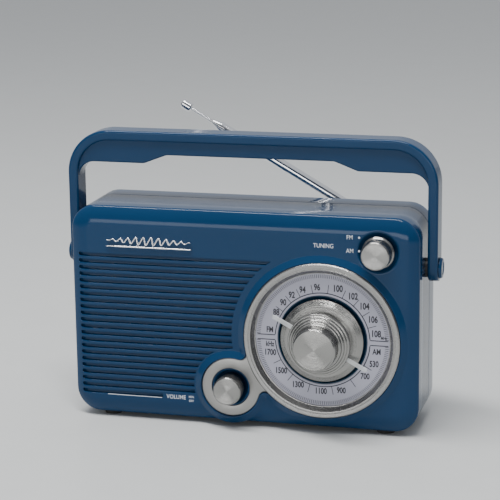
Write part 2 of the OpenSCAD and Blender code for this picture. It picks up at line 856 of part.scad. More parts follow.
module ferrite_coil() {
    color(brass) translate([ferrite_x0 + 22, front_y + ferrite_d, ferrite_z]) rotate([0, 90, 0])
        difference() {
            cylinder(h = 40, r = ferrite_r + 1.2);
            translate([0, 0, -1]) cylinder(h = 42, r = ferrite_r);
        }
}

module ferrite_holders() {
    color(black) for (x = [ferrite_x0 + 6, ferrite_x0 + ferrite_len - 10]) difference() {
        block(x, x + 4, panel_t + 0.2, ferrite_d + 8, ferrite_z - 8, ferrite_z + 8);
        translate([x - 1, front_y + ferrite_d, ferrite_z]) rotate([0, 90, 0])
            cylinder(h = 6, r = ferrite_r);
    }
}

module transformer_core() {
    color(steel) difference() {
        block(core_x - core_w / 2, core_x + core_w / 2, core_d0, inner_back_d,
              core_z - core_h / 2, core_z + core_h / 2);
        for (s = [-1, 1]) block(core_x + s * 10.5 - 5, core_x + s * 10.5 + 5, core_d0 - 1,
                                inner_back_d - 1, core_z - 11, core_z + 11);
    }
}

module transformer_winding() {
    color(brass) difference() {
        block(core_x - 15.5, core_x + 15.5, core_d0 - 3, inner_back_d - 1,
              core_z - 11, core_z + 11);
        block(core_x - 5.5, core_x + 5.5, core_d0, inner_back_d, core_z - 12, core_z + 12);
    }
}

module mains_inlet() {
    color(black) difference() {
        block(inlet_x - inlet_w / 2, inlet_x + inlet_w / 2, cabinet_d - inlet_deep - 2,
              cabinet_d, sockets_z - inlet_h / 2, sockets_z + inlet_h / 2);
        plate(cabinet_d - inlet_deep, cabinet_d + 1) translate([inlet_x, sockets_z]) {
            for (s = [-1, 1]) translate([s * 3.6, 0]) circle(3.5);
            square([7.2, 7], center = true);
        }
        for (s = [-1, 1])
            rod_back(inlet_x + s * 4.3, sockets_z, cabinet_d - inlet_deep - 3, cabinet_d, 1.2);
    }
}

module mains_pins() {
    color(brass) for (s = [-1, 1])
        rod_back(inlet_x + s * 4.3, sockets_z, cabinet_d - inlet_deep - 6, cabinet_d - 1.5, 1.2);
}

module socket_35(x) {
    color(black) pipe_back(x, sockets_z, cabinet_d - jack_len, cabinet_d, jack_body_r, jack_r);
}

module headphone_socket() { socket_35(headphone_x); }
module aux_socket() { socket_35(aux_x); }

// ---------------------------------------------------------------- batteries

function row_z(row) = tray_z0 + 0.4 + cell_d / 2 + row * (cell_d + 0.8);

module along_row(x, row) {
    translate([x, front_y + cell_depth, row_z(row)]) rotate([0, 90, 0]) children();
}

module battery_cells() {
    color(brass) for (row = [0, 1], i = [0, 1])
        along_row(tray_x0 + contact_room + i * cell_l, row) {
            translate([0, 0, 0.1]) cylinder(h = cell_l - 1.7, r = cell_d / 2);
            translate([0, 0, cell_l - 1.6 - tiny]) cylinder(h = 1.5, r = 3.2);
        }
}

module battery_springs() {
    color(steel) for (row = [0, 1]) along_row(tray_x0, row) {
        cylinder(h = 0.6, r = 8);
        translate([0, 0, 0.6 - tiny]) cylinder(h = contact_room - 0.7, r1 = 6, r2 = 3.5);
    }
}

module battery_contacts() {
    color(steel) for (row = [0, 1])
        along_row(tray_x1 - contact_room + 0.1, row) cylinder(h = contact_room - 0.1, r = 7);
}

// ---------------------------------------------------------------- handle

module handle_outline(inset, drop) {
    r = handle_r - inset;
    half = arm_out_x - inset;
    top = handle_top_z - inset;
    translate([-half, pivot_z - drop]) square([2 * half, top - r - pivot_z + drop]);
    translate([-half + r, top - 2 * r]) square([2 * (half - r), 2 * r]);
    for (s = [-1, 1]) translate([s * (half - r), top - r]) circle(r);
}

module finger_opening() {
    r = web_corner_r;
    half = arm_in_x;
    translate([-half, pivot_z - 20]) square([2 * half, web_z - r - pivot_z + 20]);
    translate([-half + r, web_z - 2 * r]) square([2 * (half - r), 2 * r]);
    for (s = [-1, 1]) translate([s * (half - r), web_z - r]) circle(r);
    polygon([
        [-web_mid - web_slope_w, web_z - 1], [-web_mid - web_slope_w, web_z],
        [-web_mid, web_z + web_step], [web_mid, web_z + web_step],
        [web_mid + web_slope_w, web_z], [web_mid + web_slope_w, web_z - 1]
    ]);
}

module handle() {
    mid = pivot_d;
    color(shell_blue) difference() {
        union() {
            plate(mid - strap_d / 2, mid + strap_d / 2) difference() {
                handle_outline(0, 0);
                handle_outline(strap_t, 1);
            }
            plate(mid - web_d / 2, mid + web_d / 2) difference() {
                handle_outline(strap_t - 1, -30);
                finger_opening();
            }
            for (s = [-1, 1]) translate([s * (arm_in_x + strap_t / 2), front_y + mid, pivot_z])
                rotate([0, 90, 0]) cylinder(h = strap_t, r = strap_d / 2, center = true);
        }
        translate([-arm_out_x - 1, front_y + mid, pivot_z]) rotate([0, 90, 0])
            cylinder(h = 2 * arm_out_x + 2, r = pin_r + running_gap);
    }
}

module pivot_pins() {
    color(shell_blue) for (s = [-1, 1])
        translate([s * (right_x - wall - 6), front_y + pivot_d, pivot_z]) rotate([0, 90 * s, 0]) {
            cylinder(h = arm_out_x - right_x + wall + 6 + 0.3, r = pin_r);
            translate([0, 0, arm_out_x - right_x + wall + 6 + 0.3]) {
                cylinder(h = 1.4, r = pin_cap_r);
                translate([0, 0, 1.4]) cylinder(h = 0.8, r1 = pin_cap_r, r2 = pin_cap_r - 1);
            }
        }
}

module pivot_washers() {
    color(black) for (s = [-1, 1])
        translate([s * right_x, front_y + pivot_d, pivot_z]) rotate([0, 90 * s, 0])
            difference() {
                cylinder(h = arm_gap - 0.3, r = pin_r + 3);
                translate([0, 0, -1]) cylinder(h = arm_gap + 2, r = pin_r);
            }
}

// ---------------------------------------------------------------- antenna

// Frame of the antenna: the elbow is its origin and +Z runs up the tubes
module along_antenna() {
    translate([antenna_x, front_y + antenna_d, antenna_z])
        rotate([0, antenna_tilt - 90, 0]) children();
}

module antenna_swivel() {
    ear_in = tongue_t / 2 + 0.3;
    base_d = cabinet_d + 0.3;
    color(chrome) {
        rod_back(antenna_x, antenna_z, inner_back_d - 6, base_d, shaft_r);
        rod_back(antenna_x, antenna_z, base_d, base_d + 2, swivel_r);
        along_antenna() difference() {
            for (s = [0, 1]) mirror([s, 0, 0]) translate([ear_in, 0, 0]) {
                rotate([0, 90, 0]) cylinder(h = ear_t, r = elbow_r);
                translate([0, -antenna_off + 2, -elbow_r])
                    cube([ear_t, antenna_off - 2, 2 * elbow_r]);
            }
            translate([-8, 0, 0]) rotate([0, 90, 0]) cylinder(h = 16, r = elbow_pin_r);
        }
    }
}

module antenna_elbow_pin() {
    half = tongue_t / 2 + 0.3 + ear_t;
    color(steel) along_antenna() translate([-half, 0, 0]) rotate([0, 90, 0])
        cylinder(h = 2 * half, r = elbow_pin_r);
}

module antenna_mast() {
    color(chrome) along_antenna() {
        difference() {
            union() {
                rotate([0, 90, 0]) cylinder(h = tongue_t, r = elbow_r, center = true);
                translate([-tongue_t / 2, -elbow_r + 0.4, 0])
                    cube([tongue_t, 2 * elbow_r - 0.8, 6]);
                translate([0, 0, 5]) cylinder(h = 5, r = mast_r);
            }
            translate([-8, 0, 0]) rotate([0, 90, 0])
                cylinder(h = 16, r = elbow_pin_r + running_gap);
        }
        translate([0, 0, 10 - tiny]) difference() {
            cylinder(h = mast_len - 10, r = mast_r);
            translate([0, 0, tiny]) cylinder(h = mast_len, r = mast_r - tube_wall);
        }
    }
}

// Outer radius of the tube number k, counting the mast as 1
function tube_r(k) = mast_r - (k - 1) * (tube_wall + tube_gap);

module antenna_tube(k) {
    r = tube_r(k);
    color(chrome) along_antenna() translate([0, 0, tube_foot + 2 * k]) difference() {
        cylinder(h = mast_len + (k - 1) * tube_step - tube_foot - 2 * k, r = r);
        translate([0, 0, -1]) cylinder(h = mast_len + 40, r = r - tube_wall);
    }
}

module antenna_tube_2() { antenna_tube(2); }
module antenna_tube_3() { antenna_tube(3); }
module antenna_tube_4() { antenna_tube(4); }
module antenna_tube_5() { antenna_tube(5); }

module antenna_tip() {
    foot = tube_foot + 30;
    color(chrome) along_antenna() {
        translate([0, 0, foot]) cylinder(h = collar_z + rod_out - foot, r = rod_r);
        translate([0, 0, collar_z + rod_out]) cylinder(h = 1, r1 = cap_r - 0.8, r2 = cap_r);
        translate([0, 0, collar_z + rod_out + 1]) cylinder(h = cap_len - 2, r = cap_r);
        translate([0, 0, collar_z + rod_out + cap_len - 1])
            cylinder(h = 1, r1 = cap_r, r2 = cap_r - 0.6);
    }
}

module antenna_clip() {
    arm = 1.6;
    gap = mast_r + 0.5;
    back = cabinet_d + antenna_off + mast_r;
    color(shell_blue) {
        block(clip_x - 5, clip_x + 5, cabinet_d, cabinet_d + 1.6,
              antenna_z - clip_hole - 3, antenna_z + clip_hole + 3);
        block(clip_x - 5, clip_x + 5, cabinet_d, back,
              antenna_z - gap - arm, antenna_z - gap);
        for (z = [-1, 1]) rod_back(clip_x, antenna_z + z * clip_hole, inner_back_d, cabinet_d, 1);
    }
}

front_cabinet();
rear_cabinet();
battery_door();
grille_cloth();
dial_trim();
dial_face();
dial_hub_ring();
volume_well_ring();
ornament();
tuning_knob();
tuning_knob_skirt();
dial_pointer();
tuning_shaft();
tuning_capacitor();
volume_knob();
volume_shaft();
volume_control();
band_knob();
band_shaft();
band_switch();
speaker_frame();
speaker_cone();
speaker_dust_cap();
speaker_magnet();
circuit_board();
amplifier_chip();
filter_capacitors();
tuned_coils();
ferrite_rod();
ferrite_coil();
ferrite_holders();
transformer_core();
transformer_winding();
mains_inlet();
mains_pins();
headphone_socket();
aux_socket();
battery_cells();
battery_springs();
battery_contacts();
rubber_feet();
case_screws();
board_screws();
speaker_screws();
handle();
pivot_pins();
pivot_washers();
antenna_swivel();
antenna_elbow_pin();
antenna_mast();
antenna_tube_2();
antenna_tube_3();
antenna_tube_4();
antenna_tube_5();
antenna_tip();
antenna_clip();
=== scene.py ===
"""Finished looks of a portable two-band radio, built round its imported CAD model.

Lengths in this file are millimetres until a mesh is made, unless a name says otherwise.
"Depth" is the distance behind the flat of the front panel, and "reach" the distance in front of it.
"""

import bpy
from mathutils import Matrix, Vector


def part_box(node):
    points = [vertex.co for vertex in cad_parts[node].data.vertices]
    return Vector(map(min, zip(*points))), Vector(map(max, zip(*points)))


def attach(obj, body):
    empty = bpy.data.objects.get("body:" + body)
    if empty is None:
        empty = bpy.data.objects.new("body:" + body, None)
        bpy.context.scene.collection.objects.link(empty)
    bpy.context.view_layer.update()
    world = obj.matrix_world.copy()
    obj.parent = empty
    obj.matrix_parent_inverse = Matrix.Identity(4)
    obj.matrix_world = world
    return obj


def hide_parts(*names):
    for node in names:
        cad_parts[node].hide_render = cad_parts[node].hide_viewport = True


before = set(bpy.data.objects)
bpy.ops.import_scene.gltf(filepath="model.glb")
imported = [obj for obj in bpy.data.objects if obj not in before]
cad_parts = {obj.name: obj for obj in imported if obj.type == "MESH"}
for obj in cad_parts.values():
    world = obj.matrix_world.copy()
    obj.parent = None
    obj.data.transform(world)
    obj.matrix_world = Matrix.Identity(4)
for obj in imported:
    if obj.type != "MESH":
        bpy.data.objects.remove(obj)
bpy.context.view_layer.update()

import logging
import math
from collections.abc import Iterable, Sequence
from dataclasses import dataclass
from enum import Enum

import bmesh
import bpy
from mathutils import Matrix, Vector
from mathutils.geometry import delaunay_2d_cdt

log = logging.getLogger("radio")
MM = 0.001
TOWARDS = Vector((0, -1, 0))
RIGHT = Vector((1, 0, 0))
Corner = tuple[float, float, float]


# ---------------------------------------------------------------- places

class Layout:
    """The places that every sub-assembly shares, measured once from the CAD boxes."""

    front_half: float = 45.0
    dial_edge: float = 68.5
    dial_up: float = 65.5
    volume_across: float = 67.0
    volume_down: float = 38.5
    band_edge: float = 28.5
    band_drop: float = 24.0

    def __init__(self) -> None:
        """Measures the front half and sets out the three knobs' centres on the flat of the panel."""
        low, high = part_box("front_cabinet")
        self.low: Vector = low / MM
        self.high: Vector = high / MM
        self.panel_y: float = self.high.y - self.front_half
        self.dial = Vector((self.high.x - self.dial_edge, self.panel_y, self.low.z + self.dial_up))
        self.volume = self.dial - Vector((self.volume_across, 0, self.volume_down))
        self.band = Vector((self.high.x - self.band_edge, self.panel_y, self.high.z - self.band_drop))


PLACES = Layout()


@dataclass(frozen=True)
class Axis:
    """A line that round pieces are turned about."""

    origin: Vector
    along: Vector
    across: Vector

    def at(self, radius: float, angle: float, along: float) -> Vector:
        """A point at a radius, an angle in radians and a distance along the line."""
        up = self.along.cross(self.across)
        return self.origin + self.along * along + (self.across * math.cos(angle) + up * math.sin(angle)) * radius


# ---------------------------------------------------------------- outlines and meshes

def rounded(corners: Sequence[Corner], steps: int = 4, closed: bool = False, support: float = 0.0) -> list[Vector]:
    """Rounds the corners of an outline.

    Args:
        corners: points as (a, b, radius).
        steps: pieces in each arc.
        closed: whether the last point joins the first.
        support: distance of an extra point on the straights beside each arc, which keeps them flat.

    Returns:
        The outline's points.
    """
    count, out = len(corners), []
    for i, (a, b, radius) in enumerate(corners):
        here = Vector((a, b))
        if radius <= 0 or (not closed and i in (0, count - 1)):
            out.append(here)
            continue
        before, after = corners[i - 1], corners[(i + 1) % count]
        back, on = Vector(before[:2]) - here, Vector(after[:2]) - here
        half = math.acos(max(-1.0, min(1.0, back.normalized().dot(on.normalized())))) / 2
        if half > math.radians(89.5):
            out.append(here)
            continue
        room = min(back.length * (0.48 if before[2] else 0.96), on.length * (0.48 if after[2] else 0.96))
        reach = min(radius / math.tan(half), room)
        back_dir, on_dir = back.normalized(), on.normalized()
        centre = here + (back_dir + on_dir).normalized() * (reach / math.cos(half))
        arm_a, arm_b, swing = here + back_dir * reach - centre, here + on_dir * reach - centre, math.pi - 2 * half
        extra = min(support, 0.3 * (room - reach) + 0.02)
        if support:
            out.append(here + back_dir * (reach + extra))
        for k in range(steps + 1):
            turn = swing * k / steps
            out.append(centre + (arm_a * math.sin(swing - turn) + arm_b * math.sin(turn)) / math.sin(swing))
        if support:
            out.append(here + on_dir * (reach + extra))
    return out


def inside(point: Vector, outline: Sequence[Vector]) -> bool:
    """Whether a flat point lies within a closed flat outline.

    Args:
        point: the flat point.
        outline: its points in order.

    Returns:
        True if it lies within.
    """
    hit = False
    for a, b in zip(outline, [*outline[1:], outline[0]]):
        if (a.y > point.y) != (b.y > point.y) and point.x < a.x + (point.y - a.y) * (b.x - a.x) / (b.y - a.y):
            hit = not hit
    return hit


def circle(radius: float, steps: int) -> list[tuple[float, float]]:
    """Offsets of points round a circle."""
    turns = [math.tau * i / steps for i in range(steps)]
    return [(radius * math.cos(t), radius * math.sin(t)) for t in turns]


def grown(outline: Sequence[Vector], amount: float) -> list[Vector]:
    """A closed anticlockwise flat outline moved outwards by a small amount, or inwards if that is negative.

    Args:
        outline: its points in order.
        amount: how far it moves.

    Returns:
        The moved outline.
    """
    out = []
    for before, here, after in zip([outline[-1], *outline[:-1]], outline, [*outline[1:], outline[0]]):
        one, two = (here - before).normalized(), (after - here).normalized()
        normal = (Vector((one.y, -one.x)) + Vector((two.y, -two.x))).normalized()
        out.append(here + normal * amount / max(0.5, normal.dot(Vector((one.y, -one.x)))))
    return out


class Shape:
    """Points and faces that are gathered before they become one mesh."""

    def __init__(self) -> None:
        """Starts with nothing in it."""
        self.points: list[Vector] = []
        self.faces: list[tuple[int, ...]] = []
        self.normals: dict[int, Vector] = {}

    def ring(self, loop: Iterable[Vector]) -> list[int]:
        """Adds points and returns their numbers.

        Args:
            loop: the points to add.

        Returns:
            The numbers of the points.
        """
        first = len(self.points)
        self.points.extend(loop)
        return list(range(first, len(self.points)))

    def bridge(self, a: Sequence[int], b: Sequence[int]) -> None:
        """Joins two closed rings of equal length with quads.

        Args:
            a: point numbers of one ring.
            b: point numbers of the other ring.
        """
        for i in range(len(a)):
            j = (i + 1) % len(a)
            self.faces.append((a[i], a[j], b[j], b[i]))

    def loft(self, loops: Sequence[Sequence[Vector]], ends: bool = True, around: bool = False) -> list[list[int]]:
        """Joins closed loops one after another.

        Args:
            loops: loops with the same number of points.
            ends: whether the first and last loops are closed with a face.
            around: whether the last loop joins the first.

        Returns:
            The point numbers of every loop.
        """
        rings = [self.ring(loop) for loop in loops]
        self.chain(rings + rings[:1] if around else rings)
        if ends and not around:
            self.faces += [tuple(reversed(rings[0])), tuple(rings[-1])]
        return rings

    def chain(self, rings: Sequence[Sequence[int]]) -> None:
        """Bridges rings one after another."""
        for a, b in zip(rings, rings[1:]):
            self.bridge(a, b)

    def turn(self, axis: Axis, profile: Sequence[Vector], steps: int = 96, ring: bool = False) -> "Shape":
        """Turns a profile of (radius, distance along) points about an axis.

        Args:
            axis: the line to turn about.
            profile: an open profile that starts and ends on the line, or a closed one.
            steps: pieces round the turn.
            ring: whether the profile is closed and misses the line.

        Returns:
            This shape.
        """
        turns = [math.tau * i / steps for i in range(steps)]
        self.loft([[axis.at(p.x, t, p.y) for t in turns] for p in profile], ends=False, around=ring)
        return self

    def fill(self, outer: list[int], holes: Sequence[list[int]] = (), extra: Sequence[int] = ()) -> None:
        """Fills the area between an outer ring and holes, as seen along Y, with triangles.

        Args:
            outer: the ring round the area.
            holes: the rings of its holes.
            extra: points inside the area that the triangles use too.
        """
        used = [*outer, *(i for hole in holes for i in hole), *extra]
        number = {point: k for k, point in enumerate(used)}
        rings = [outer, *holes]
        walls = [(number[a], number[b]) for ring in rings for a, b in zip(ring, ring[1:] + ring[:1])]
        flat = [Vector((self.points[i].x, self.points[i].z)) for i in used]
        verts, edges, faces, origin, edge_origin, _ = delaunay_2d_cdt(flat, walls, [], 0, 1e-5)
        fixed = {frozenset(edge) for edge, source in zip(edges, edge_origin) if source}
        beside: dict[frozenset[int], list[int]] = {}
        for f, face in enumerate(faces):
            for a, b in zip(face, [*face[1:], face[0]]):
                beside.setdefault(frozenset((a, b)), []).append(f)
        outlines = [[Vector((self.points[i].x, self.points[i].z)) for i in ring] for ring in rings]
        level = self.points[outer[0]].y
        made: dict[int, int] = {}

        def named(v: int) -> int:
            """The number of a corner of the result, added where two outlines cross.

            Args:
                v: the corner in the result.

            Returns:
                The number of the point.
            """
            if origin[v]:
                return used[origin[v][0]]
            if v not in made:
                made[v] = self.ring([Vector((verts[v].x, level, verts[v].y))])[0]
            return made[v]

        seen: set[int] = set()
        for start in range(len(faces)):
            if start in seen:
                continue
            seen.add(start)
            patch, todo = [], [start]
            while todo:
                f = todo.pop()
                patch.append(f)
                face = faces[f]
                for a, b in zip(face, [*face[1:], face[0]]):
                    edge = frozenset((a, b))
                    for g in beside[edge]:
                        if g not in seen and edge not in fixed:
                            seen.add(g)
                            todo.append(g)
            middle = sum((verts[v] for v in faces[start]), Vector((0, 0))) / len(faces[start])
            if inside(middle, outlines[0]) and not any(inside(middle, hole) for hole in outlines[1:]):
                self.faces += [tuple(named(v) for v in faces[f]) for f in patch]

    def piece(self, name: str, material: bpy.types.Material, sharp: float = 32.0) -> bpy.types.Object:
        """Makes the mesh object in metres, with outward faces and smooth shading.

        Args:
            name: the object's name.
            material: its finish.
            sharp: edges that turn by more than this many degrees stay crisp.

        Returns:
            The new object.
        """
        mesh = bpy.data.meshes.new(name)
        mesh.from_pydata([point * MM for point in self.points], [], self.faces)
        work = bmesh.new()
        work.from_mesh(mesh)
        if not self.normals:
            bmesh.ops.remove_doubles(work, verts=work.verts, dist=2e-6)
        bmesh.ops.recalc_face_normals(work, faces=work.faces)
        work.to_mesh(mesh)
        work.free()
        smooth(mesh, sharp)
        if self.normals:
            nothing = Vector((0, 0, 0))
            mesh.normals_split_custom_set_from_vertices([self.normals.get(i, nothing) for
                                        i in range(len(mesh.vertices))])
        return link(name, mesh, material)


def smooth(mesh: bpy.types.Mesh, sharp: float) -> None:
    """Shades a mesh smooth, apart from edges that turn by more than so many degrees."""
    mesh.polygons.foreach_set("use_smooth", [True] * len(mesh.polygons))
    mesh.set_sharp_from_angle(angle=math.radians(sharp))


def link(name: str, mesh: bpy.types.Mesh, material: bpy.types.Material) -> bpy.types.Object:
    """Puts a mesh in the scene as an object with one finish.

    Args:
        name: the object's name.
        mesh: its mesh.
        material: its finish.

    Returns:
        The new object.
    """
    mesh.materials.clear()
    mesh.materials.append(material)
    obj = bpy.data.objects.new(name, mesh)
    bpy.context.scene.collection.objects.link(obj)
    return obj


def settle(obj: bpy.types.Object, body: str, slot: str, *nodes: str) -> bpy.types.Object:
    """Puts a piece on its body and hides the CAD nodes that it stands for.

    Args:
        obj: the piece.
        body: the body that carries it.
        slot: its finish's slot; not used.
        nodes: the CAD nodes that it stands for.

    Returns:
        The same object.
    """
    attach(obj, body)
    if nodes:
        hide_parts(*nodes)
    log.info("%s: %d faces on %s", obj.name, len(obj.data.polygons), body)
    return obj


def baked(obj: bpy.types.Object) -> bpy.types.Object:
    """Replaces an object's mesh by what its modifiers make of it, and removes them.

    Args:
        obj: the piece.

    Returns:
        The same object with its plain mesh.
    """
    bpy.context.view_layer.update()
    done = obj.evaluated_get(bpy.context.evaluated_depsgraph_get())
    mesh = bpy.data.meshes.new_from_object(done)
    obj.modifiers.clear()
    obj.data = mesh
    return obj


def bevelled_copy(node: str, name: str, material: bpy.types.Material, width: float) -> bpy.types.Object:
    """A copy of a CAD node with its crisp edges softened.

    Args:
        node: the CAD node.
        name: the new object's name.
        material: its finish.
        width: width of the softened edge.

    Returns:
        The new object.
    """
    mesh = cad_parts[node].data.copy()
    mesh.name = name
    work = bmesh.new()
    work.from_mesh(mesh)
    bmesh.ops.remove_doubles(work, verts=work.verts, dist=4e-6)
    bmesh.ops.dissolve_limit(work, angle_limit=math.radians(0.6), verts=work.verts, edges=work.edges)
    work.to_mesh(mesh)
    work.free()
    if "custom_normal" in mesh.attributes:
        mesh.attributes.remove(mesh.attributes["custom_normal"])
    smooth(mesh, 30)
    obj = link(name, mesh, material)
    bevel = obj.modifiers.new("softened edges", "BEVEL")
    bevel.width = width * MM
    bevel.segments = 2
    bevel.limit_method = "ANGLE"
    bevel.angle_limit = math.radians(38)
    bevel.harden_normals = True
    return baked(obj)


# ---------------------------------------------------------------- shader building

class Value:
    """A node's output that Python's operators turn into Math nodes."""

    def __init__(self, graph: "Graph", socket: bpy.types.NodeSocket) -> None:
        """Keeps the graph and the socket."""
        self.graph, self.socket = graph, socket

    def math(self, operation: str, *others: "Value | float") -> "Value":
        """One Math node on this value."""
        return self.graph.node("ShaderNodeMath", {"operation": operation}, {i: v for i, v in enumerate((self,
                                        *others))})

    def __add__(self, other: "Value | float") -> "Value":
        """self + other."""
        return self.math("ADD", other)

    def __mul__(self, other: "Value | float") -> "Value":
        """self * other."""
        return self.math("MULTIPLY", other)

    def __sub__(self, other: "Value | float") -> "Value":
        """self - other."""
        return self.math("SUBTRACT", other)

    def __rsub__(self, other: float) -> "Value":
        """other - self."""
        return self.graph.node("ShaderNodeMath", {"operation": "SUBTRACT"}, {0: other, 1: self})

    def __pow__(self, other: float) -> "Value":
        """self ** other."""
        return self.math("POWER", other)

    __radd__ = __add__
    __rmul__ = __mul__

    def clamped(self) -> "Value":
        """The value held between 0 and 1."""
        return self.math("MINIMUM", 1.0).math("MAXIMUM", 0.0)


class Graph:
    """A node tree with short ways to add to it."""

    def __init__(self, tree: bpy.types.NodeTree) -> None:
        """Empties the tree."""
        self.tree = tree
        tree.nodes.clear()

    def node(self, kind: str, settings: dict | None = None, inputs: dict | None = None, out: int | str = 0) -> Value:
        """Adds a node.

        Args:
            kind: its type.
            settings: its own properties, such as a Math node's operation, set first.
            inputs: values or links by socket name or number.
            out: the output that is returned.

        Returns:
            The output, wrapped.
        """
        node = self.tree.nodes.new(kind)
        for key, value in (settings or {}).items():
            setattr(node, key, value)
        for key, value in (inputs or {}).items():
            if isinstance(value, Value):
                self.tree.links.new(value.socket, node.inputs[key])
            else:
                node.inputs[key].default_value = value
        return Value(self, node.outputs[out]) if len(node.outputs) else Value(self, node.inputs[0])

    def place(self) -> Value:
        """Object coordinates."""
        return self.node("ShaderNodeTexCoord", out="Object")

    def vector(self, operation: str, a: Value | Sequence[float], b: Value | Sequence[float] | None = None,
               out: int | str = 0) -> Value:
        """One Vector Math node."""
        inputs = {0: a} if b is None else {0: a, 1: b}
        return self.node("ShaderNodeVectorMath", {"operation": operation}, inputs, out)

    def noise(self, where: Value, per_metre: float, detail: float = 2.0) -> Value:
        """A noise value from 0 to 1 at so many cells in each metre."""
        return self.node("ShaderNodeTexNoise", None, {"Vector": where, "Scale": per_metre, "Detail": detail}, "Fac")

    def blend(self, factor: Value, a: Sequence[float], b: Sequence[float]) -> Value:
        """A colour between two colours."""
        return self.node("ShaderNodeMix", {"data_type": "RGBA"}, {"Factor": factor, 6: (*a, 1.0), 7: (*b, 1.0)}, 2)

    def bump(self, height: Value, strength: float, distance: float) -> Value:
        """A normal bent by a height, with the distance in millimetres."""
        return self.node("ShaderNodeBump", None, {"Height": height, "Strength": strength, "Distance": distance * MM})

    def surface(self, varied: dict[str, Value], fixed: dict[str, float | tuple]) -> None:
        """Adds the shader and the output.

        Args:
            varied: links by socket name.
            fixed: constants by socket name.
        """
        shader = self.node("ShaderNodeBsdfPrincipled", None, {**fixed, **varied})
        self.node("ShaderNodeOutputMaterial", None, {"Surface": shader})


Colour = tuple[float, float, float]


def shade(colour: Colour, factor: float) -> Colour:
    """A colour made darker or lighter."""
    return tuple(min(1.0, c * factor) for c in colour)


@dataclass(frozen=True)
class Finish:
    """A finish with a name and a colour."""

    name: str
    colour: Colour

    def paint(self, graph: Graph) -> None:
        """Fills the node tree."""
        raise NotImplementedError

    def material(self) -> bpy.types.Material:
        """The finish's material, made once.

        Returns:
            The material.
        """
        found = bpy.data.materials.get(self.name)
        if found is None:
            found = bpy.data.materials.new(self.name)
            found.use_nodes = True
            self.paint(Graph(found.node_tree))
        return found


@dataclass(frozen=True)
class GlossPlastic(Finish):
    """Polished moulded plastic: a little ripple, faint smears and a clear skin."""

    roughness: float = 0.13
    ripple: float = 0.02
    specular: float = 0.4
    coat: float = 0.6

    def paint(self, graph: Graph) -> None:
        """Fills the node tree.

        Args:
            graph: the node tree to fill.
        """
        place = graph.place()
        cloud = graph.noise(place, 9.0, 3.0)
        smear = graph.noise(graph.vector("MULTIPLY", place, (1.0, 1.0, 0.35)), 55.0, 4.0)
        peel = graph.noise(place, 420.0, 1.0)
        graph.surface(
            {"Base Color": graph.blend(cloud, shade(self.colour, 0.9), shade(self.colour, 1.1)),
             "Roughness": (smear - 0.5) * 0.1 + self.roughness,
             "Normal": graph.bump(peel, 0.35, self.ripple)},
            {"IOR": 1.5, "Specular IOR Level": self.specular, "Coat Weight": self.coat, "Coat Roughness": 0.04})


@dataclass(frozen=True)
class SpunMetal(Finish):
    """Lathe-turned aluminium: fine circular grooves about an axis along Y spread the shine across them."""

    centre: Colour = (0.0, 0.0, 0.0)
    spread: float = 0.3
    lines: float = 0.05
    roughness: float = 0.2

    def paint(self, graph: Graph) -> None:
        """Fills the node tree.

        Args:
            graph: the node tree to fill.
        """
        place = graph.vector("SUBTRACT", graph.place(), self.centre)
        flat = graph.vector("MULTIPLY", place, (1.0, 0.0, 1.0))
        out = graph.vector("NORMALIZE", flat)
        to_object = {"vector_type": "NORMAL", "convert_from": "WORLD", "convert_to": "OBJECT"}
        to_world = {"vector_type": "NORMAL", "convert_from": "OBJECT", "convert_to": "WORLD"}
        facing = graph.node("ShaderNodeNewGeometry", out="Normal")
        facing = graph.node("ShaderNodeVectorTransform", to_object, {0: facing})
        round_way = graph.vector("CROSS_PRODUCT", out, (0.0, 1.0, 0.0))
        across = graph.vector("CROSS_PRODUCT", facing, round_way)
        radius = graph.vector("LENGTH", flat, out="Value")
        height = graph.node("ShaderNodeSeparateXYZ", None, {0: place}, "Y")
        groove = graph.node("ShaderNodeCombineXYZ", None, {0: radius, 1: height})
        cell = graph.vector("SNAP", groove, (1.5e-5, 1.5e-5, 1.5e-5))
        fine = graph.node("ShaderNodeTexWhiteNoise", {"noise_dimensions": "2D"}, {"Vector": cell}, "Value")
        coarse = graph.noise(groove, 3200.0, 1.0)
        tilt = (fine - 0.5) * (2 * self.spread) + (coarse - 0.5) * self.lines
        lean = graph.node("ShaderNodeVectorMath", {"operation": "SCALE"}, {0: across, "Scale": tilt})
        bent = graph.vector("NORMALIZE", graph.vector("ADD", facing, lean))
        bent = graph.node("ShaderNodeVectorTransform", to_world, {0: bent})
        cloud = graph.noise(graph.place(), 60.0, 3.0)
        graph.surface(
            {"Base Color": graph.blend(coarse, shade(self.colour, 0.93), shade(self.colour, 1.05)),
             "Roughness": (cloud - 0.5) * 0.08 + self.roughness, "Normal": bent},
            {"Metallic": 1.0})


@dataclass(frozen=True)
class PolishedMetal(Finish):
    """Bright plated metal with faint handling marks."""

    roughness: float = 0.07

    def paint(self, graph: Graph) -> None:
        """Fills the node tree.

        Args:
            graph: the node tree to fill.
        """
        place = graph.place()
        marks = graph.noise(place, 240.0, 5.0)
        graph.surface(
            {"Base Color": graph.blend(marks, shade(self.colour, 0.92), self.colour),
             "Roughness": (marks ** 2.0) * 0.12 + self.roughness,
             "Normal": graph.bump(graph.noise(place, 900.0), 0.15, 0.01)},
            {"Metallic": 1.0})


class Grain(Enum):
    """What the surface of a plain finish looks like up close."""

    SPARK = "fine spark-eroded mould texture"
    WOVEN = "two crossing sets of threads"
    LAYERED = "thin layers or turns of wire"


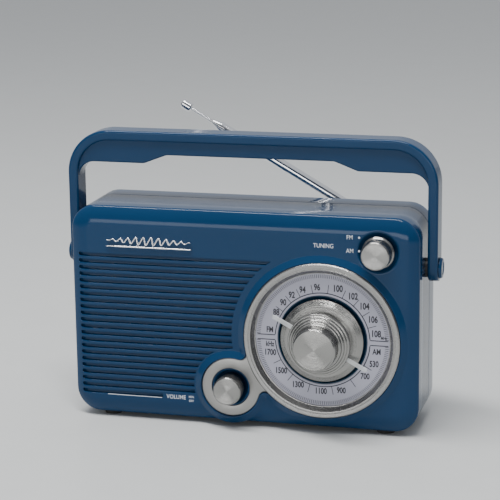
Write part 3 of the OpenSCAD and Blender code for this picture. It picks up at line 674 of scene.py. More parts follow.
@dataclass(frozen=True)
class PlainFinish(Finish):
    """Matt or satin stuff with a fine grain."""

    grain: Grain = Grain.SPARK
    per_metre: float = 2600.0
    depth: float = 0.05
    roughness: float = 0.5
    metallic: float = 0.0

    def paint(self, graph: Graph) -> None:
        """Fills the node tree.

        Args:
            graph: the node tree to fill.
        """
        place = graph.place()
        cloud = graph.noise(place, 70.0, 3.0)
        if self.grain is Grain.SPARK:
            height = graph.noise(place, self.per_metre, 3.0)
        else:
            height = self.stripes(graph, place, "Z")
            if self.grain is Grain.WOVEN:
                height = height * self.stripes(graph, place, "X")
        graph.surface(
            {"Base Color": graph.blend((cloud + height) * 0.5, shade(self.colour, 0.78), shade(self.colour, 1.15)),
             "Roughness": (cloud - 0.5) * 0.2 + self.roughness,
             "Normal": graph.bump(height, 0.6, self.depth)},
            {"Metallic": self.metallic})

    def stripes(self, graph: Graph, place: Value, axis: str) -> Value:
        """Evenly spaced ridges along one axis, from 0 to 1."""
        along = graph.node("ShaderNodeSeparateXYZ", None, {0: place}, axis)
        return (along * (self.per_metre * math.pi)).math("SINE") * 0.5 + 0.5


@dataclass(frozen=True)
class PrintedSheet(Finish):
    """A printed dial or ink: nearly even colour with a dusting of fine specks."""

    roughness: float = 0.38
    speck: float = 0.05

    def paint(self, graph: Graph) -> None:
        """Fills the node tree.

        Args:
            graph: the node tree to fill.
        """
        place = graph.place()
        speck = graph.noise(place, 3500.0, 2.0)
        cloud = graph.noise(place, 25.0, 2.0)
        low, high = shade(self.colour, 1 - self.speck), shade(self.colour, 1 + self.speck)
        graph.surface(
            {"Base Color": graph.blend((speck + cloud) * 0.5, low, high),
             "Roughness": (cloud - 0.5) * 0.1 + self.roughness,
             "Normal": graph.bump(speck, 0.2, 0.01)},
            {"Coat Weight": 0.15, "Coat Roughness": 0.1})


@dataclass(frozen=True)
class ClearPlastic(Finish):
    """Clear moulded plastic whose edges and flanks catch the light."""

    alpha: float = 0.34

    def paint(self, graph: Graph) -> None:
        """Fills the node tree.

        Args:
            graph: the node tree to fill.
        """
        place = graph.place()
        edge = graph.node("ShaderNodeLayerWeight", None, {"Blend": 0.35}, "Facing")
        cloud = graph.noise(place, 300.0, 2.0)
        graph.surface(
            {"Base Color": graph.blend(cloud, shade(self.colour, 0.95), self.colour),
             "Roughness": cloud * 0.06 + 0.05,
             "Alpha": (edge * 0.5 + self.alpha).clamped()},
            {"IOR": 1.49, "Coat Weight": 0.5, "Coat Roughness": 0.03})


def metres(point: Vector) -> Colour:
    """A point in metres, as plain numbers."""
    return tuple(point * MM)


class Finishes:
    """Every finish of the radio."""

    shell = GlossPlastic("cabinet_blue_gloss", (0.004, 0.036, 0.098), specular=0.22, coat=0.04)
    # A darker copy of the cabinet blue: painted shade of the recess under the tuning knob's skirt.
    deep = GlossPlastic("recess_shade_blue_gloss", (0.004, 0.030, 0.066), roughness=0.18)
    dial_metal = SpunMetal("dial_ring_satin", (0.34, 0.337, 0.33), centre=metres(PLACES.dial), spread=0.12,
                           lines=0.03, roughness=0.27)
    plate_metal = SpunMetal("volume_plate_satin", (0.33, 0.325, 0.315), centre=metres(PLACES.volume), spread=0.12,
                            lines=0.03, roughness=0.3)
    tuning_metal = SpunMetal("tuning_knob_spun", (0.31, 0.307, 0.295), centre=metres(PLACES.dial), spread=0.3)
    volume_metal = SpunMetal("volume_knob_spun", (0.31, 0.307, 0.295), centre=metres(PLACES.volume), spread=0.3)
    band_metal = SpunMetal("band_knob_spun", (0.34, 0.337, 0.325), centre=metres(PLACES.band), spread=0.3)
    chrome = PolishedMetal("bright_chrome", (0.86, 0.865, 0.88))
    steel = PolishedMetal("plated_steel", (0.56, 0.56, 0.58), roughness=0.25)
    brass = PolishedMetal("bright_brass", (0.72, 0.55, 0.27), roughness=0.2)
    dial_print = PrintedSheet("dial_print_grey", (0.40, 0.40, 0.48))
    black_ink = PrintedSheet("dial_ink_black", (0.012, 0.012, 0.02), roughness=0.5)
    white_ink = PrintedSheet("label_ink_white", (0.72, 0.76, 0.82), roughness=0.5)
    clear = ClearPlastic("pointer_clear", (0.86, 0.89, 0.90))
    black = PlainFinish("moulded_black", (0.018, 0.018, 0.02), roughness=0.45)
    rubber = PlainFinish("soft_rubber", (0.022, 0.022, 0.022), per_metre=1400.0, roughness=0.8)
    board = PlainFinish("board_green", (0.03, 0.14, 0.06), roughness=0.35, per_metre=900.0)
    cloth = PlainFinish("grille_cloth_black", (0.012, 0.012, 0.014), grain=Grain.WOVEN, per_metre=1600.0, depth=0.2,
                        roughness=0.9)
    paper = PlainFinish("cone_paper", (0.03, 0.028, 0.026), per_metre=700.0, depth=0.15, roughness=0.85)
    ferrite = PlainFinish("sintered_ferrite", (0.035, 0.035, 0.04), per_metre=1800.0, roughness=0.6)
    plates = PlainFinish("stacked_plates", (0.16, 0.16, 0.17), grain=Grain.LAYERED, per_metre=2000.0, depth=0.15,
                         roughness=0.4, metallic=0.8)
    winding = PlainFinish("wound_wire", (0.42, 0.17, 0.05), grain=Grain.LAYERED, per_metre=3000.0, depth=0.15,
                          roughness=0.3, metallic=0.8)
    cell = PlainFinish("cell_wrap", (0.34, 0.18, 0.05), per_metre=400.0, roughness=0.3, metallic=0.5)


CAD_FINISHES: dict[Finish, tuple[str, ...]] = {
    Finishes.shell: ("antenna_clip",),
    Finishes.chrome: ("antenna_swivel", "antenna_mast"),
    Finishes.steel: ("tuning_shaft", "tuning_capacitor", "volume_shaft", "volume_control", "band_shaft",
                     "tuned_coils", "battery_springs", "battery_contacts", "case_screws", "board_screws",
                     "antenna_elbow_pin"),
    Finishes.brass: ("mains_pins",),
    Finishes.black: ("band_switch", "speaker_frame", "amplifier_chip", "filter_capacitors", "ferrite_holders",
                     "mains_inlet", "headphone_socket", "aux_socket", "pivot_washers"),
    Finishes.board: ("circuit_board",),
    Finishes.cloth: ("grille_cloth",),
    Finishes.paper: ("speaker_cone", "speaker_dust_cap"),
    Finishes.ferrite: ("speaker_magnet", "ferrite_rod"),
    Finishes.plates: ("transformer_core",),
    Finishes.winding: ("transformer_winding", "ferrite_coil"),
    Finishes.cell: ("battery_cells",),
    Finishes.rubber: ("rubber_feet",),
}


# ---------------------------------------------------------------- cabinet

@dataclass
class Cabinet:
    """The two moulded halves, the battery door and the loudspeaker's screws."""

    corner_r: float = 18.0
    crown_w: float = 14.0
    crown_r: float = 22.0
    knee_r: float = 2.6
    wall: float = 3.0
    panel_t: float = 3.5
    skin_inset: float = 4.0
    groove_count: int = 22
    groove_pitch: float = 4.9
    groove_half: float = 1.3
    groove_first: float = 16.5
    groove_depth: float = 2.7
    groove_left: float = 5.8
    dial_clear: float = 66.5
    volume_clear: float = 28.0
    label_w: float = 52.0
    bezel_r: float = 56.5
    plate_r: float = 21.7
    blend_r: float = 5.0
    surround_w: float = 5.0
    surround_h: float = 2.9
    face_seat_r: float = 50.0
    hub_seat_r: float = 33.5
    well_r: float = 14.0
    well_d: float = 3.0
    shaft_r: float = 3.3

    def inset(self, x: float, z: float) -> float:
        """Distance of a point on the front inside the cabinet's outline.

        Args:
            x: place across the front.
            z: height on the front.

        Returns:
            The distance, less than 0 outside.
        """
        half_w = (PLACES.high.x - PLACES.low.x) / 2 - self.corner_r
        half_h = (PLACES.high.z - PLACES.low.z) / 2 - self.corner_r
        over_x = abs(x) - half_w
        over_z = abs(z - (PLACES.high.z + PLACES.low.z) / 2) - half_h
        outside = math.hypot(max(over_x, 0), max(over_z, 0)) + min(max(over_x, over_z), 0)
        return self.corner_r - outside

    def roll(self, inset: float) -> float:
        """Depth of the front's soft roll at a distance inside the outline."""
        across = max(0.0, self.crown_w - inset)
        return self.crown_r - math.sqrt(self.crown_r ** 2 - across ** 2)

    def depth(self, x: float, z: float) -> float:
        """Depth of the front's surface at a point."""
        return self.roll(self.inset(x, z))

    def on_front(self, x: float, z: float, more: float = 0.0) -> Vector:
        """The point of the front's surface there, or one deeper."""
        return Vector((x, PLACES.panel_y + self.depth(x, z) + more, z))

    def facing(self, x: float, z: float) -> Vector:
        """The front's outward direction at a point.

        Args:
            x: place across the front.
            z: height on the front.

        Returns:
            A unit vector.
        """
        step = 0.02
        slope_x = (self.depth(x + step, z) - self.depth(x - step, z)) / (2 * step)
        slope_z = (self.depth(x, z + step) - self.depth(x, z - step)) / (2 * step)
        return Vector((slope_x, -1, slope_z)).normalized()

    def outline(self, inset: float, arc: int = 14, side: int = 16) -> list[tuple[float, float]]:
        """The cabinet's outline seen from the front, anticlockwise from the right side.

        Args:
            inset: distance inside the outline.
            arc: pieces in each corner.
            side: pieces in each straight.

        Returns:
            (x, z) of each point.
        """
        radius = max(0.5, self.corner_r - inset)
        x1, z1 = PLACES.high.x - inset - radius, PLACES.high.z - inset - radius
        x0, z0 = PLACES.low.x + inset + radius, PLACES.low.z + inset + radius
        out: list[tuple[float, float]] = []
        for quarter, (x, z) in enumerate(((x1, z1), (x0, z1), (x0, z0), (x1, z0))):
            for k in range(arc + 1):
                turn = math.radians(90 * (quarter + k / arc))
                out.append((x + radius * math.cos(turn), z + radius * math.sin(turn)))
            next_x, next_z = ((x0, z1), (x0, z0), (x1, z0), (x1, z1))[quarter]
            turn = math.radians(90 * (quarter + 1))
            for k in range(1, side):
                share = k / side
                out.append((x + (next_x - x) * share + radius * math.cos(turn),
                            z + (next_z - z) * share + radius * math.sin(turn)))
        return out

    def figure(self, grow: float) -> list[tuple[float, float]]:
        """The joined outline of dial and volume plate with its hollow blends, moved out by an amount.

        Args:
            grow: how far the outline is moved outwards.

        Returns:
            (x, z) of each point.
        """
        big, small = self.bezel_r + grow, self.plate_r + grow
        blend = max(0.3, self.blend_r - 0.95 * grow)
        dial, volume = PLACES.dial, PLACES.volume
        apart = (volume - dial).length
        heading = math.atan2(volume.z - dial.z, volume.x - dial.x)
        a, b = big + blend, small + blend
        alpha = math.acos((apart ** 2 + a ** 2 - b ** 2) / (2 * apart * a))
        beta = math.acos((apart ** 2 + b ** 2 - a ** 2) / (2 * apart * b))
        gamma = math.pi - alpha - beta
        out: list[tuple[float, float]] = []

        def arc(cx: float, cz: float, radius: float, start: float, sweep: float, steps: int) -> None:
            """Adds an arc without its last point.

            Args:
                cx: X of the centre.
                cz: Z of the centre.
                radius: the radius.
                start: the first angle, in radians.
                sweep: how far the arc turns, in radians.
                steps: how many points it gets.
            """
            for k in range(steps):
                turn = start + sweep * k / steps
                out.append((cx + radius * math.cos(turn), cz + radius * math.sin(turn)))

        side_a = (dial.x + a * math.cos(heading - alpha), dial.z + a * math.sin(heading - alpha))
        side_b = (dial.x + a * math.cos(heading + alpha), dial.z + a * math.sin(heading + alpha))
        arc(dial.x, dial.z, big, heading + alpha, math.tau - 2 * alpha, 150)
        arc(*side_a, blend, heading - alpha + math.pi, -gamma, 10)
        arc(volume.x, volume.z, small, heading + math.pi + beta, math.tau - 2 * beta, 64)
        arc(*side_b, blend, heading - beta, -gamma, 10)
        return out

    def groove_end(self, z: float, grow: float) -> float:
        """X where a groove stops on its right at one height.

        Args:
            z: height on the front.
            grow: how far the outline is moved outwards.

        Returns:
            The place across the front.
        """
        ends = []
        for centre, clear in ((PLACES.dial, self.dial_clear), (PLACES.volume, self.volume_clear)):
            reach = clear - grow
            if abs(z - centre.z) < reach:
                ends.append(centre.x - math.sqrt(reach ** 2 - (z - centre.z) ** 2))
        if z < PLACES.low.z + self.groove_first + self.groove_pitch / 2:
            ends.append(PLACES.volume.x - self.label_w + grow)
        return min(ends)

    def groove_z(self, row: int) -> float:
        """Height of a groove's middle."""
        return PLACES.low.z + self.groove_first + row * self.groove_pitch

    def groove(self, row: int, low: float, high: float, drop: float) -> list[Vector]:
        """One loop of a groove.

        Args:
            row: the groove, counted from the lowest.
            low: how far the loop lies outside the groove's lower edge.
            high: how far it lies outside its upper edge.
            drop: its depth below the surface.

        Returns:
            The loop's points, from the upper right.
        """
        z0 = self.groove_z(row) - self.groove_half - low
        z1 = self.groove_z(row) + self.groove_half + high
        radius, middle = (z1 - z0) / 2, (z0 + z1) / 2
        start = PLACES.low.x + self.groove_left + self.groove_half
        flat_from = PLACES.low.x + self.crown_w
        rolled = [start + (flat_from - start) * k / 7 for k in range(8)]
        nominal = self.groove_end(self.groove_z(row), 0) - 8
        straight = rolled + [x for x in (-95.0, -75.0, -55.0, -35.0, -15.0, 5.0) if x < nominal]
        flat = [(self.groove_end(z1, high), z1)] + [(x, z1) for x in reversed(straight)]
        for k in range(1, 12):
            turn = math.radians(90 + 15 * k)
            flat.append((start + radius * math.cos(turn), middle + radius * math.sin(turn)))
        flat += [(x, z0) for x in straight] + [(self.groove_end(z0, low), z0)]
        for k in range(1, 5):
            z = z0 + (z1 - z0) * k / 5
            flat.append((self.groove_end(z, (low + high) / 2), z))
        return [self.on_front(x, z, drop) for x, z in flat]

    def free(self, x: float, z: float) -> bool:
        """Whether a point of the front keeps clear of every groove and opening.

        Args:
            x: place across the front.
            z: height on the front.

        Returns:
            True if it keeps clear.
        """
        row = round((z - self.groove_z(0)) / self.groove_pitch)
        if 0 <= row < self.groove_count and PLACES.low.x + self.groove_left - 1.6 < x < self.groove_end(z, 2.0):
            return False
        for centre, clear in ((PLACES.dial, self.bezel_r + 7), (PLACES.volume, self.plate_r + 7), (PLACES.band, 17.5)):
            if math.hypot(x - centre.x, z - centre.z) < clear:
                return False
        return True

    def front_half(self) -> bpy.types.Object:
        """The front moulding: rolled rim, grooves, surrounds, seats and wells in one closed wall.

        Returns:
            The new object.
        """
        shape = Shape()
        rims = self.rim(shape)
        holes, back_holes = [], []
        for row in range(self.groove_count):
            holes.append(self.cut_groove(shape, row))
        hole, openings = self.cut_figure(shape)
        holes.append(hole)
        back_holes += openings
        hole, opening = self.cut_band_well(shape)
        holes.append(hole)
        back_holes.append(opening)
        extra = []
        for inset in range(int(self.skin_inset) + 1, int(self.crown_w) + 1):
            spots = [(x, z) for x, z in self.outline(inset, 10, 40) if self.free(x, z)]
            extra += shape.ring(self.on_front(x, z) for x, z in spots)
        first = rims[0] + [i for hole in holes for i in hole] + extra
        for i in first:
            point = shape.points[i]
            shape.normals[i] = self.facing(point.x, point.z)
        shape.fill(rims[0], holes, extra)
        behind = []
        for inset in (7, 10, 14):
            spots = [(x, z) for x, z in self.outline(inset, 6, 12) if self.clear_behind(x, z)]
            behind += shape.ring(self.on_front(x, z, self.panel_t) for x, z in spots)
        shape.fill(rims[1], back_holes, behind)
        return shape.piece("front_cabinet_moulding", Finishes.shell.material(), sharp=40)

    def clear_behind(self, x: float, z: float) -> bool:
        """Whether a point behind the panel keeps clear of the bosses.

        Args:
            x: place across the front.
            z: height on the front.

        Returns:
            True if it keeps clear.
        """
        for centre, clear in ((PLACES.dial, 53.5), (PLACES.volume, 17.5), (PLACES.band, 17.5)):
            if math.hypot(x - centre.x, z - centre.z) < clear:
                return False
        return True

    def rim(self, shape: Shape) -> tuple[list[int], list[int]]:
        """The side walls and the outer part of the roll.

        Args:
            shape: where the faces go.

        Returns:
            The rings that the front skin and the inner skin start from.
        """
        lip, gap = 0.35, 0.4
        roll = [(i, self.roll(i), 0.0) for i in (1.5, 2.2, 3.0)]
        profile = rounded([(gap, PLACES.front_half, 0), (0.0, PLACES.front_half - lip, 0), (0.0, 12.0, 0),
                           (0.0, self.roll(0), self.knee_r), *roll, (self.skin_inset, self.roll(self.skin_inset), 0)],
                          steps=7, support=0.5)
        outer = [shape.ring(Vector((x, PLACES.panel_y + p.y, z)) for x, z in self.outline(p.x)) for p in profile]
        inner_profile = [(self.wall, PLACES.front_half), (self.wall, 10.0), (self.wall + 0.4, 7.2)]
        inner = [shape.ring(Vector((x, PLACES.panel_y + d, z)) for x, z in self.outline(i)) for i, d in inner_profile]
        inner.append(shape.ring(self.on_front(x, z, self.panel_t) for x, z in self.outline(5.0)))
        shape.chain([inner[0], *outer])
        shape.chain(inner)
        return outer[-1], inner[-1]

    def cut_groove(self, shape: Shape, row: int) -> list[int]:
        """One groove of the louvres.

        Args:
            shape: where the faces go.
            row: the groove, counted from the lowest.

        Returns:
            The groove's ring in the front skin.
        """
        lip, brow = 0.5, 0.28
        steps = [(lip + 0.18, brow + 0.18, 0.0), (lip, brow, 0.0)]
        for k in range(1, 5):
            turn = math.radians(22.5 * k)
            steps.append((lip * (1 - math.sin(turn)), brow * (1 - math.sin(turn)), lip * (1 - math.cos(turn))))
        steps += [(0.0, 0.0, self.groove_depth - 0.25), (-0.08, -0.08, self.groove_depth - 0.07),
                  (-0.3, -0.3, self.groove_depth)]
        rings = [shape.ring(self.groove(row, *step)) for step in steps]
        shape.chain(rings)
        shape.fill(rings[-1])
        return rings[0]

    def cut_figure(self, shape: Shape) -> tuple[list[int], list[list[int]]]:
        """The raised surround of dial and volume plate, with the seats inside it.

        Args:
            shape: where the faces go.

        Returns:
            Its ring in the front skin, and its rings in the inner skin.
        """
        wide, high = self.surround_w, self.surround_h
        levels = [(wide + 0.55, 0.0), (wide + 0.25, 0.0), (wide, 0.05), (wide - 0.25, 0.2), (wide - 0.6, 0.46),
                  (1.15, high - 0.32), (0.9, high - 0.15), (0.7, high - 0.04), (0.5, high), (0.3, high - 0.08),
                  (0.14, high - 0.3), (0.1, high - 0.6), (0.1, 0.0)]
        rings = [shape.ring(Vector((x, PLACES.panel_y - h, z)) for x, z in self.figure(grow)) for grow, h in levels]
        shape.chain(rings)
        dial_steps = [(self.face_seat_r, 0.0), (self.face_seat_r, 2.5), (self.hub_seat_r, 2.5), (self.hub_seat_r, 6.5),
                      (self.shaft_r, 6.5), (self.shaft_r, 8.0), (self.face_seat_r + 2, 8.0),
                      (self.face_seat_r + 2, self.panel_t)]
        volume_steps = [(self.well_r + 0.3, 0.0), (self.well_r + 0.3, self.well_d + 0.6), (self.shaft_r,
                                        self.well_d + 0.6),
                        (self.shaft_r, 5.6), (self.well_r + 2, 5.6), (self.well_r + 2, self.panel_t)]
        dial = self.seat(shape, PLACES.dial, dial_steps, 96)
        volume = self.seat(shape, PLACES.volume, volume_steps, 64)
        shape.fill(rings[-1], [dial[0], volume[0]])
        return rings[0], [dial[-1], volume[-1]]

    def seat(self, shape: Shape, centre: Vector, steps: Sequence[tuple[float, float]], sides: int) -> list[list[int]]:
        """A stepped round hole through the panel, as rings of (radius, depth).

        Args:
            shape: where the faces go.
            centre: its centre on the panel.
            steps: (radius, depth) of each ring.
            sides: pieces round it.

        Returns:
            The point numbers of every ring.
        """
        rings = [shape.ring(centre + Vector((x, depth, z)) for x, z in circle(radius, sides)) for radius,
                 depth in steps]
        shape.chain(rings)
        return rings

    def cut_band_well(self, shape: Shape) -> tuple[list[int], list[int]]:
        """The well of the band knob, whose soft lip follows the roll.

        Args:
            shape: where the faces go.

        Returns:
            Its ring in the front skin and its ring in the inner skin.
        """
        centre, lip, sides = PLACES.band, 1.7, 72
        rings = []
        for radius, drop in ((self.well_r + lip + 0.35, 0.0), (self.well_r + lip, 0.0)):
            rings.append(shape.ring(self.on_front(centre.x + x, centre.z + z, drop) for x, z in circle(radius, sides)))
        for k in range(1, 6):
            turn = math.radians(18 * k)
            radius, drop = self.well_r + lip * (1 - math.sin(turn)), lip * (1 - math.cos(turn))
            rings.append(shape.ring(self.on_front(centre.x + x, centre.z + z, drop * (1 - 0.1 * k))
                                    for x, z in circle(radius, sides)))
        steps = [(self.well_r, self.well_d), (self.shaft_r, self.well_d), (self.shaft_r, 5.2), (self.well_r + 2, 5.2)]
        rings += [shape.ring(centre + Vector((x, d, z)) for x, z in circle(r, sides)) for r, d in steps]
        rings.append(shape.ring(self.on_front(centre.x + x, centre.z + z, self.panel_t)
                                for x, z in circle(self.well_r + 2, sides)))
        shape.chain(rings)
        return rings[0], rings[-1]

    def speaker_screws(self) -> bpy.types.Object:
        """The loudspeaker's screws, with tips that stop short of the groove floors.

        Returns:
            The new object.
        """
        obj = bevelled_copy("speaker_screws", "speaker_screws_short", Finishes.steel.material(), 0.15)
        limit = (PLACES.panel_y + self.panel_t - 0.4) * MM
        for vertex in obj.data.vertices:
            vertex.co.y = max(vertex.co.y, limit)
        return obj

    def build(self) -> None:
        """Makes the cabinet's pieces."""
        settle(self.front_half(), "cabinet", "cabinet_blue", "front_cabinet")
        settle(self.speaker_screws(), "cabinet", "steel", "speaker_screws")
        shell = Finishes.shell.material()
        settle(bevelled_copy("rear_cabinet", "rear_cabinet_moulding", shell, 0.45), "cabinet", "cabinet_blue",
               "rear_cabinet")
        settle(bevelled_copy("battery_door", "battery_door_moulding", shell, 0.35), "battery_door", "cabinet_blue",
               "battery_door")


# ---------------------------------------------------------------- dial

@dataclass
class Dial:
    """The bright ring and plate, the printed scale and the blue rings round the knobs."""

    bezel_r: float = 56.5
    face_r: float = 48.5
    hole_r: float = 32.5
    plate_h: float = 1.6
    well_r: float = 14.0
    arc_r: float = 34.3
    mark_r: float = 40.6
    divider: float = 1.75
    print_t: float = 0.05
    face_depth: float = 1.2

    def axis(self, centre: Vector) -> Axis:
        """The line that points out of the panel at a centre."""
        return Axis(centre, TOWARDS, RIGHT)

    def bezel(self) -> bpy.types.Object:
        """The stepped bright ring and the plate that joins it.

        Returns:
            The new object.
        """
        outer = self.bezel_r - 0.1
        profile = rounded([(outer, -0.9, 0), (outer, 3.3, 0.5), (outer - 0.9, 4.0, 0.35), (outer - 3.1, 3.85, 0.12),
                           (outer - 3.2, 3.5, 0.1), (outer - 3.9, 3.5, 0.1), (outer - 4.0, 3.75, 0.12),
                           (outer - 4.7, 3.6, 0.25), (self.face_r + 0.75, 0.1, 0.3), (self.face_r + 0.1, -0.1, 0.2),
                           (self.face_r, -1.15, 0), (self.face_r + 1.4, -1.15, 0)], closed=True, support=0.15)
        ring = Shape().turn(self.axis(PLACES.dial), profile, 160, ring=True)
        return ring.piece("dial_bezel", Finishes.dial_metal.material())

    def plate(self) -> bpy.types.Object:
        """The flat bright plate round the volume knob.

        Returns:
            The new object.
        """
        cabinet, shape = Cabinet(), Shape()
        figure = [Vector(point) for point in cabinet.figure(0.0)]
        dial = Vector((PLACES.dial.x, PLACES.dial.z))
        kept = [p if (p - dial).length > self.bezel_r + 0.01 else dial + (p - dial).normalized() * (self.bezel_r - 1.6)
                for p in figure]
        volume = PLACES.volume
        top, bevel = self.plate_h, 0.55

        def level(grow: float, reach: float) -> list[Vector]:
            """The outline at one height."""
            return [Vector((p.x, PLACES.panel_y - reach, p.y)) for p in grown(kept, grow)]

        outside = [shape.ring(level(grow, reach)) for grow, reach in (
            (-0.15, 0.05), (-0.12, top - bevel - 0.1), (-0.14, top - bevel), (-0.3, top - 0.22),
            (-0.15 - bevel, top - 0.04), (-0.3 - bevel, top))]
        holes = [shape.ring(volume + Vector((x, -reach, z)) for x, z in circle(radius, 80)) for radius, reach in (
            (self.well_r + 0.5, top), (self.well_r + 0.25, top - 0.06), (self.well_r + 0.08, top - 0.25),
            (self.well_r, top - 0.5), (self.well_r, 0.05))]
        inner_dial = [shape.ring(PLACES.dial + Vector((x, -reach, z)) for x, z in circle(self.bezel_r - 4, 120))
                      for reach in (top, 0.05)]
        shape.chain(outside)
        shape.chain(holes)
        shape.chain(inner_dial)
        shape.fill(outside[-1], [holes[0], inner_dial[0]])
        shape.fill(outside[0], [holes[-1], inner_dial[-1]])
        return shape.piece("volume_plate", Finishes.plate_metal.material())

    def face(self) -> bpy.types.Object:
        """The printed face with its raised inner lip.

        Returns:
            The new object.
        """
        d = -self.face_depth
        profile = rounded([(self.face_r + 1.0, d, 0.1), (self.hole_r + 1.3, d, 0.12), (self.hole_r + 1.1,
                                        d + 0.45, 0.2),
                           (self.hole_r + 0.1, d + 0.5, 0.25), (self.hole_r, d - 1.2, 0), (self.face_r + 1.0,
                                        d - 1.2, 0)],
                          closed=True, support=0.3)
        return Shape().turn(self.axis(PLACES.dial), profile, 128, ring=True).piece(
            "dial_face_print", Finishes.dial_print.material())

    def hub_ring(self) -> bpy.types.Object:
        """The funnel between the face and the knob's skirt, in the cabinet blue darkened as painted shade of its
        recess.

        Returns:
            The new object.
        """
        profile = rounded([(self.hole_r - 0.1, -0.75, 0.3), (self.hole_r - 0.9, -0.85, 0.6), (self.hole_r - 1.9,
                                        -4.6, 0.8),
                           (6.0, -4.9, 0), (6.0, -6.3, 0), (self.hole_r - 0.1, -6.3, 0)], closed=True, support=0.2)
        return Shape().turn(self.axis(PLACES.dial), profile, 128, ring=True).piece(
            "dial_hub_funnel", Finishes.deep.material())

    def volume_ring(self) -> bpy.types.Object:
        """The blue ring between the plate and the volume knob.

        Returns:
            The new object.
        """
        r = self.well_r - 0.15
        profile = rounded([(r, 0.9, 0.2), (r - 0.9, 1.05, 0.6), (r - 2.3, -1.4, 0.9), (r - 2.9, -2.9, 0), (r, -2.9, 0)],
                          steps=6, closed=True, support=0.15)
        return Shape().turn(self.axis(PLACES.volume), profile, 96, ring=True).piece(
            "volume_well_funnel", Finishes.shell.material())

    def build(self) -> None:
        """Makes the dial's pieces."""
        settle(self.bezel(), "cabinet", "bright_trim", "dial_trim")
        settle(self.plate(), "cabinet", "bright_trim", "dial_trim")
        settle(self.face(), "cabinet", "dial_print", "dial_face")
        # The hub funnel's darker blue is painted shade of its recess.
        settle(self.hub_ring(), "cabinet", "deep_blue", "dial_hub_ring")
        settle(self.volume_ring(), "cabinet", "cabinet_blue", "volume_well_ring")
        settle(self.lines(), "cabinet", "dial_print")
        settle(self.numbers(), "cabinet", "dial_print")
        for name, start in (("fm_scale_ticks", 3.2), ("am_scale_ticks", 183.2)):
            ticks = TickRow(name=name, count=105, inner=self.face_r - 3.4, outer=self.face_r - 0.7, width=0.38,
                            start=math.radians(start), sweep=math.radians(173.6))
            settle(ticks.build(), "cabinet", "dial_print")

    def surface_y(self) -> float:
        """Y of the printed face."""
        return PLACES.panel_y + self.face_depth

    def lines(self) -> bpy.types.Object:
        """The black outlines of the two scales and their long marks.

        Returns:
            The new object.
        """
        shape = Shape()
        half, y = 0.34, self.surface_y()
        for side in (1, -1):
            start = math.asin(self.divider / self.arc_r)
            path = [(self.face_r - 1.1, self.divider), (self.arc_r * math.cos(start) + 0.3, self.divider)]
            path += [(self.arc_r * math.cos(t), self.arc_r * math.sin(t))
                     for t in (start + 0.03 + (math.pi - 2 * start - 0.06) * k / 90 for k in range(91))]
            path += [(-self.arc_r * math.cos(start) - 0.3, self.divider), (-self.face_r + 1.1, self.divider)]
            shape_ribbon(shape, [Vector((PLACES.dial.x + x, PLACES.dial.z + z * side)) for x, z in path], half, y,
                         self.print_t)
        for degrees in (146, 131, 117.5, 101.5, 83.5, 65.5, 49.5, 33.5, 18, -29.5, -54, -79, -105.5, -129, -151.5):
            turn = math.radians(degrees)
            out = Vector((math.cos(turn), math.sin(turn)))
            dial = Vector((PLACES.dial.x, PLACES.dial.z))
            shape_ribbon(shape, [dial + out * self.arc_r, dial + out * self.mark_r], 0.23, y, self.print_t)
        return shape.piece("dial_lines", Finishes.black_ink.material())

    def numbers(self) -> bpy.types.Object:
        """The printed numbers and band names.

        Returns:
            The new object.
        """
        words = [("88", -33.4, 18.6, 4.6), ("90", -28.3, 26.0, 4.6), ("92", -22.0, 31.8, 4.6), ("94", -14.2, 36.0, 4.7),
                 ("96", -3.7, 38.4, 4.7), ("100", 11.6, 38.2, 4.8), ("102", 22.4, 33.2, 4.8), ("104", 30.6, 26.4, 4.8),
                 ("106", 36.6, 17.2, 4.8), ("108", 38.9, 6.9, 4.8), ("MHz", 44.2, 4.0, 2.2), ("FM", -38.2, 5.6, 4.0),
                 ("AM", 38.9, -6.2, 4.0), ("530", 37.2, -15.2, 4.4), ("700", 30.8, -24.6, 4.4), ("900", 13.6,
                                        -36.2, 4.4),
                 ("1100", -0.9, -37.6, 4.4), ("1300", -17.6, -33.9, 4.4), ("1500", -29.9, -24.3, 4.4),
                 ("1700", -37.8, -11.2, 4.4), ("kHz", -38.1, -5.0, 3.6)]
        shape = Shape()
        for word, x, z, tall in words:
            add_word(shape, word, PLACES.dial.x + x, PLACES.dial.z + z, tall * 1.07, 0.72, self.surface_y(),
                     self.print_t)
        return shape.piece("dial_numbers", Finishes.black_ink.material())


def shape_ribbon(shape: Shape, path: Sequence[Vector], half: float, y: float, thick: float) -> None:
    """Adds a thin raised line that follows a flat path.

    Args:
        shape: where the faces go.
        path: (x, z) points.
        half: half of its width.
        y: the surface that it lies on.
        thick: how far it stands proud.
    """
    loops = []
    for before, here, after in zip([path[0], *path[:-1]], path, [*path[1:], path[-1]]):
        way = (after - before).normalized()
        side = Vector((-way.y, way.x)) * half
        corners = ((here + side, 0.02), (here + side, -thick), (here - side, -thick), (here - side, 0.02))
        loops.append([Vector((p.x, y + d, p.y)) for p, d in corners])
    shape.loft(loops)


